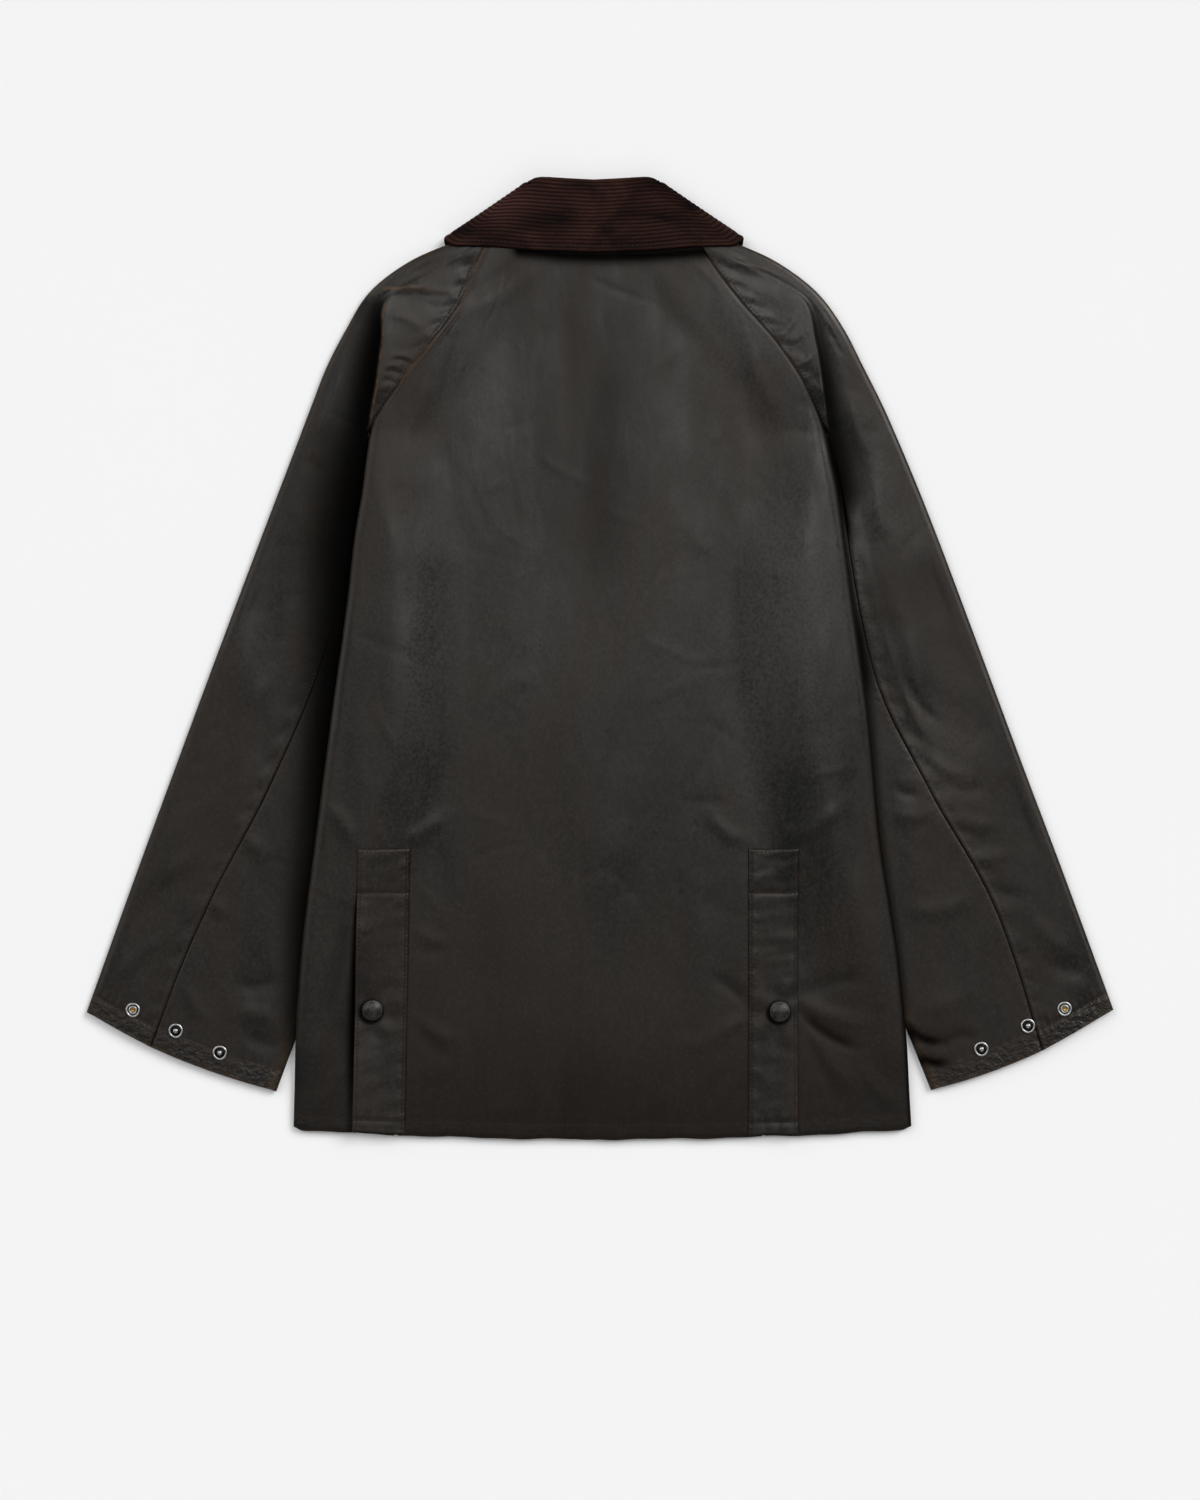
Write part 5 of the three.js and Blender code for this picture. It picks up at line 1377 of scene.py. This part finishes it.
def fall_sheet():
    roll, edge, neck, facing = collar_stations(13)
    down = edge - roll
    length = np.linalg.norm(down, axis=1)[:, None]
    down = down / length
    angle = np.radians(np.linspace(-50, 82, 14))
    inward = list(ROLL_RADIUS * (1 - np.cos(angle)))
    proud = list(ROLL_RADIUS * np.sin(angle))
    groove = [0.0] * len(angle)
    per_wale = 8
    run = np.linspace(0, 1, WALES * per_wale + 1)
    rib = 1 - np.abs(2 * ((run * WALES) % 1) - 1) ** 1.7
    rows = len(roll)
    tilt = np.linspace(0, 1, rows)
    points = np.zeros((rows, len(angle) + len(run), 3))
    values = np.zeros(points.shape[:2])
    for n in range(len(angle)):
        points[:, n] = roll + down * inward[n] + facing * proud[n]
    sag = 0.5 * np.sin(tilt * 37) + 0.35 * np.sin(tilt * 83 + 1)
    flat_part = 0.25 + 0.75 * smooth(np.abs(facing[:, 2:]) / 0.9)
    for n, (share, high) in enumerate(zip(run, rib)):
        reach = mix(ROLL_RADIUS, length, share)
        wander = 0.25 * np.sin(tilt * 60 + 9 * share)[:, None]
        lift = ROLL_RADIUS - WALE_HEIGHT + WALE_HEIGHT * high * flat_part + sag[:, None] * share * 0.4
        lift = lift - 0.9 * math.exp(-(((1 - share) * 62 / 1.0) ** 2))
        lift = lift - 0.5 * math.exp(-(((1 - share) * 62 - 5) / 1.2) ** 2)
        points[:, len(angle) + n] = roll + down * (reach + wander) + facing * lift
        # The groove value is 1 between wales, where the corduroy is painted dark as shade.
        values[:, len(angle) + n] = 1 - high
    # A patch of painted sheen on the collar's left.
    across = (points[:, :, 0] + 88) / 30
    painted_sheen_patch = 0.8 * np.exp(-(across**2)) * smooth((points[:, :, 1] - 346) / 24)
    return points, {"groove": values, "painted_sheen_and_shade": painted_sheen_patch}


def stand_sheet():
    roll, edge, neck, facing = collar_stations(5)
    down = (edge - roll) / np.linalg.norm(edge - roll, axis=1)[:, None]
    top = roll + down * (ROLL_RADIUS + 1)
    share = np.linspace(0, 1, 14)[None, :, None]
    points = mix(neck[:, None], top[:, None], share) + facing[:, None] * CLOTH / 2
    return points, {"seam": np.abs(share[:, :, 0] * 45 - 3) + 0 * points[:, :, 0]}


points, values = fall_sheet()
cloth_fall = cloth("cloth_collar", points, values, CORDUROY - 0.3, CORD, 1)
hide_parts("collar_fall")
points, values = stand_sheet()
cloth_stand = cloth("cloth_stand", points, values, CLOTH, WAXED, -1)
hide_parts("collar_stand")
print("collar of", WALES, "wales")

# %% [markdown]
# Sewing
#
# Each stitch is a short round thread bead, sunk a little into the cloth. A row of them is laid
# along a line of points on a surface.


# %% Stitch rows
def along_line(line, pitch):
    """Evenly spaced places on a line, and the line's direction at each."""
    line = np.asarray(line, float)
    step = np.linalg.norm(np.diff(line, axis=0), axis=1)
    reach = np.concatenate([[0], np.cumsum(step)])
    at = np.arange(pitch / 2, reach[-1], pitch)
    place = np.column_stack([np.interp(at, reach, line[:, k]) for k in range(3)])
    ahead = np.column_stack([np.interp(at + 0.4, reach, line[:, k]) for k in range(3)])
    behind = np.column_stack([np.interp(at - 0.4, reach, line[:, k]) for k in range(3)])
    return place, ahead - behind


def stitches(name, lines, pitch=3.4, length=2.3, width=0.8, up=(0, 0, 1)):
    """Rows of stitches as one mesh, each a copy of one round bead."""
    bm = bmesh.new()
    bmesh.ops.create_uvsphere(bm, u_segments=6, v_segments=5, radius=1)
    bead = bpy.data.meshes.new("bead")
    bm.to_mesh(bead)
    bm.free()
    shape = np.array([corner.co for corner in bead.vertices])
    beads = []
    bm = bmesh.new()
    for line in lines:
        place, way = along_line(line, pitch)
        forward = way / np.linalg.norm(way, axis=1)[:, None]
        side = np.cross(forward, up)
        side /= np.linalg.norm(side, axis=1)[:, None]
        frames = np.stack([side * width / 2, forward * length / 2, np.cross(side, forward) * width / 2.4], axis=1)
        beads.append(place[:, None] + shape @ frames)
        for _ in place:
            bm.from_mesh(bead)
    mesh = bpy.data.meshes.new(name)
    bm.to_mesh(mesh)
    bm.free()
    bpy.data.meshes.remove(bead)
    mesh.vertices.foreach_set("co", (np.concatenate(beads) * MM).ravel())
    mesh.shade_smooth()
    mesh.materials.append(THREAD)
    piece = bpy.data.objects.new(name, mesh)
    bpy.context.collection.objects.link(piece)
    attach(piece, "root")
    return piece


def on_back(line):
    """Points of the plan set on the finished back, hem swing included."""
    line = np.asarray(line, float)
    x, y = line[:, 0], line[:, 1]
    z = back_height(x, y)[0]
    left, right = body(y, "left"), body(y, "right")
    u = (2 * x - left - right) / (right - left)
    return np.column_stack([x, y - hem_drop(y, u), z + 0.12])


hem_line = np.column_stack([np.linspace(body(HEM_Y, "left") + 6, body(HEM_Y, "right") - 6, 200), np.full(200, HEM_Y + 11.5)])
sleeve_rows, raglan_rows, cuff_rows = [], [], []
for side in ("left", "right"):
    for inset in (1.4, 4.6):
        v = np.linspace(1.03, 1.98, 90)
        seam, outer = sleeve_place(side, v, "seam"), sleeve_place(side, v, "outer")
        span = np.hypot(*(outer - seam).T)
        line = np.concatenate([sleeve_top(side, np.array([a, 2.0]), np.array([inset / s]))[0][:1, 0] for a, s in zip(v, span)])
        raglan_rows.append(line + [0, 0, 0.15])
    v = np.linspace(0.004, 0.6 if side == "left" else 0.68, 150)
    seam, outer = sleeve_place(side, v, "seam"), sleeve_place(side, v, "outer")
    span = np.hypot(*(outer - seam).T)
    line = np.concatenate([sleeve_top(side, np.array([a, 2.0]), np.array([2.0 / s]))[0][:1, 0] for a, s in zip(v, span)])
    sleeve_rows.append(line + [0, 0, 0.15])
    at_cuff = np.array([13.5 / ARM_LENGTH, 2.0])
    cuff_rows.append(sleeve_top(side, at_cuff, np.linspace(0.01, 0.99, 70))[0][0] + [0, 0, 0.3])
    at_cuff = np.array([13.5 / ARM_LENGTH, UNDERSLEEVE_END])
    cuff_rows.append(under_sleeve_top(side, at_cuff, np.linspace(0.02, 0.97, 60))[0][0] + [0, 0, 0.3])

stitches_hem = stitches("stitches_hem", [on_back(hem_line)])
stitches_raglan = stitches("stitches_raglan", raglan_rows)
stitches_sleeves = stitches("stitches_sleeves", sleeve_rows)
stitches_cuffs = stitches("stitches_cuffs", cuff_rows)
print("stitched hem, raglan seams, sleeve seams and cuffs")


# %% Stitches of the vents and the collar
def on_vent(n, x, y):
    x, y = np.broadcast_arrays(np.asarray(x, float), np.asarray(y, float))
    middle = (body(y, "left") + body(y, "right")) / 2
    u = (x - middle) / (body(y, "right") - middle)
    z = vent_height(n, x, y) + 0.15
    return np.column_stack([x + vent_slant(n, y), y - hem_drop(y, u), z])


vent_rows = []
for n in range(2):
    low, high = sorted((VENTS["innerX"][n], VENTS["outerX"][n]))
    down = np.linspace(VENT_TOP_Y - 2.6, HEM_Y + 1, 140)
    vent_rows += [on_vent(n, low + 2.6, down), on_vent(n, high - 2.6, down)]
    across = np.linspace(low + 2.6, high - 2.6, 30)
    vent_rows += [on_vent(n, across, VENT_TOP_Y - 2.6), on_vent(n, across, VENT_BOX_Y), on_vent(n, across, HEM_Y + 11.5)]
stitches_vents = stitches("stitches_vents", vent_rows, pitch=3.4, length=2.1, width=1.0)

fall_points, _ = fall_sheet()
shown = fall_points[:, -1, 2] > 8.0
near_edge = fall_points.shape[1] - 12
stitches_collar = stitches("stitches_collar", [fall_points[shown, near_edge] + [0, 0, 0.1]], pitch=3.6)
fly_rows = [np.column_stack([np.full(140, x), np.linspace(HEM_Y + 2, 248, 140) - hem_drop(np.linspace(HEM_Y + 2, 248, 140), x / 255), np.full(140, -0.02)]) for x in (-20, 20)]
stitches_fly = stitches("stitches_fly", [row + [0, 0, 0.2] for row in fly_rows], width=0.5)
print("stitched vents, collar and fly")

# %% [markdown]
# Press studs
#
# Each metal part is a profile spun round its axis. A cap is a low dome with a rolled rim. A
# snap's stud has a ring and a round nipple, and its socket has a ring round a hole.


# %% Spun parts
def spun(name, profile, material, place, tilt, segments=40):
    """A profile of (radius, height) points in millimetres, spun about its axis and set in place."""
    bm = bmesh.new()
    points = [bm.verts.new((r * MM, 0, z * MM)) for r, z in profile]
    edges = [bm.edges.new(pair) for pair in zip(points[:-1], points[1:])]
    spin = {"geom": points + edges, "cent": (0, 0, 0), "axis": (0, 0, 1), "angle": 2 * math.pi}
    bmesh.ops.spin(bm, steps=segments, use_merge=True, use_duplicate=False, **spin)
    bmesh.ops.remove_doubles(bm, verts=bm.verts[:], dist=1e-6)
    bmesh.ops.recalc_face_normals(bm, faces=bm.faces[:])
    turn = Vector((0, 0, 1)).rotation_difference(Vector(tilt)).to_matrix().to_4x4()
    bmesh.ops.transform(bm, matrix=Matrix.Translation(Vector(place) * MM) @ turn, verts=bm.verts[:])
    mesh = bpy.data.meshes.new(name)
    bm.to_mesh(mesh)
    bm.free()
    mesh.shade_smooth()
    mesh.materials.append(material)
    piece = bpy.data.objects.new(name, mesh)
    bpy.context.collection.objects.link(piece)
    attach(piece, "root")
    return piece


CAP = [(0, 0), (7.4, 0), (8.3, 0.3), (8.6, 0.9), (8.35, 1.5), (7.7, 1.75), (7.1, 1.7), (6.7, 1.95),
       (5.6, 2.5), (4.2, 2.9), (2.8, 3.2), (1.4, 3.36), (0, 3.4)]
RING = [(0, 0), (5.5, 0), (6.05, 0.25), (6.1, 0.7), (5.8, 1.1), (5.2, 1.3), (4.6, 1.2), (4.3, 0.9), (4.2, 0.35),
        (0, 0.35)]
WELL = [(0, 0.4), (4.15, 0.4), (4.15, 0.5), (0, 0.5)]
NIPPLE = [(0, 0.55), (2.3, 0.55), (2.0, 0.9), (1.75, 1.4), (1.75, 1.9), (2.0, 2.3), (1.95, 2.7), (1.5, 3.0),
          (0.8, 3.15), (0, 3.2)]
SOCKET = [(0, 0.55), (3.7, 0.55), (3.6, 1.3), (3.2, 1.75), (2.6, 1.85), (2.1, 1.6), (1.9, 1.0), (1.9, 0.7), (0, 0.7)]
SPRING = [(0, 0.75), (1.75, 0.75), (1.8, 1.0), (1.5, 1.1), (1.1, 0.95), (0, 0.95)]


def middle_of(node):
    low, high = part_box(node)
    return [(low.x + high.x) / 2 / MM, (low.y + high.y) / 2 / MM, low.z / MM]


studs = []
for n, side in enumerate(("left", "right")):
    node = "vent_stud_" + side
    x, y, _ = middle_of(node)
    grid = np.array([[x, y], [x + 8, y], [x - 8, y], [x, y + 8], [x, y - 8]])
    z = vent_height(n, grid[:, 0], grid[:, 1])
    tilt = ((z[2] - z[1]) / 16, (z[4] - z[3]) / 16, 1)
    cap = spun("stud_cap_" + side, CAP, GUNMETAL, (x, y, z.mean() + 0.35), tilt)
    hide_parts(node)
    studs.append(cap)

for side in ("left", "right"):
    for n in (1, 2, 3):
        node = f"cuff_snap_{side}_{n}"
        x, y, z = middle_of(node)
        ring = spun(f"snap_ring_{side}_{n}", RING, NICKEL, (x, y, z), (0, 0, 1))
        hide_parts(node)
        # A dark disc in the snap's well, painted shade.
        spun(f"snap_well_{side}_{n}", WELL, WELL_PAINTED_SHADE, (x, y, z), (0, 0, 1), 24)
        middle = SOCKET if n == 1 else NIPPLE
        centre = spun(f"snap_middle_{side}_{n}", middle, NICKEL, (x, y, z), (0, 0, 1), 24)
        if n == 1:
            spun(f"snap_spring_{side}", SPRING, BRASS, (x, y, z), (0, 0, 1), 24)
print("two caps and six snaps")

# %% [markdown]
# The surface that the jacket lies on is a plain pale floor.

# %% Floor
bm = bmesh.new()
bmesh.ops.create_grid(bm, x_segments=1, y_segments=1, size=40)
bmesh.ops.translate(bm, verts=bm.verts[:], vec=(0, 0, -0.0006))
floor_mesh = bpy.data.meshes.new("floor")
bm.to_mesh(floor_mesh)
bm.free()
material, tree, shader = new_material("pale_floor")
tint = blend_colour(tree, noise(tree, 400, detail=1), linear("#f3f3f4"), linear("#f5f5f5"))
tree.links.new(tint, shader.inputs["Base Color"])
shader.inputs["Roughness"].default_value = 1.0
shader.inputs["Specular IOR Level"].default_value = 0.0
floor_mesh.materials.append(material)
floor = bpy.data.objects.new("floor", floor_mesh)
bpy.context.collection.objects.link(floor)
print("floor laid")
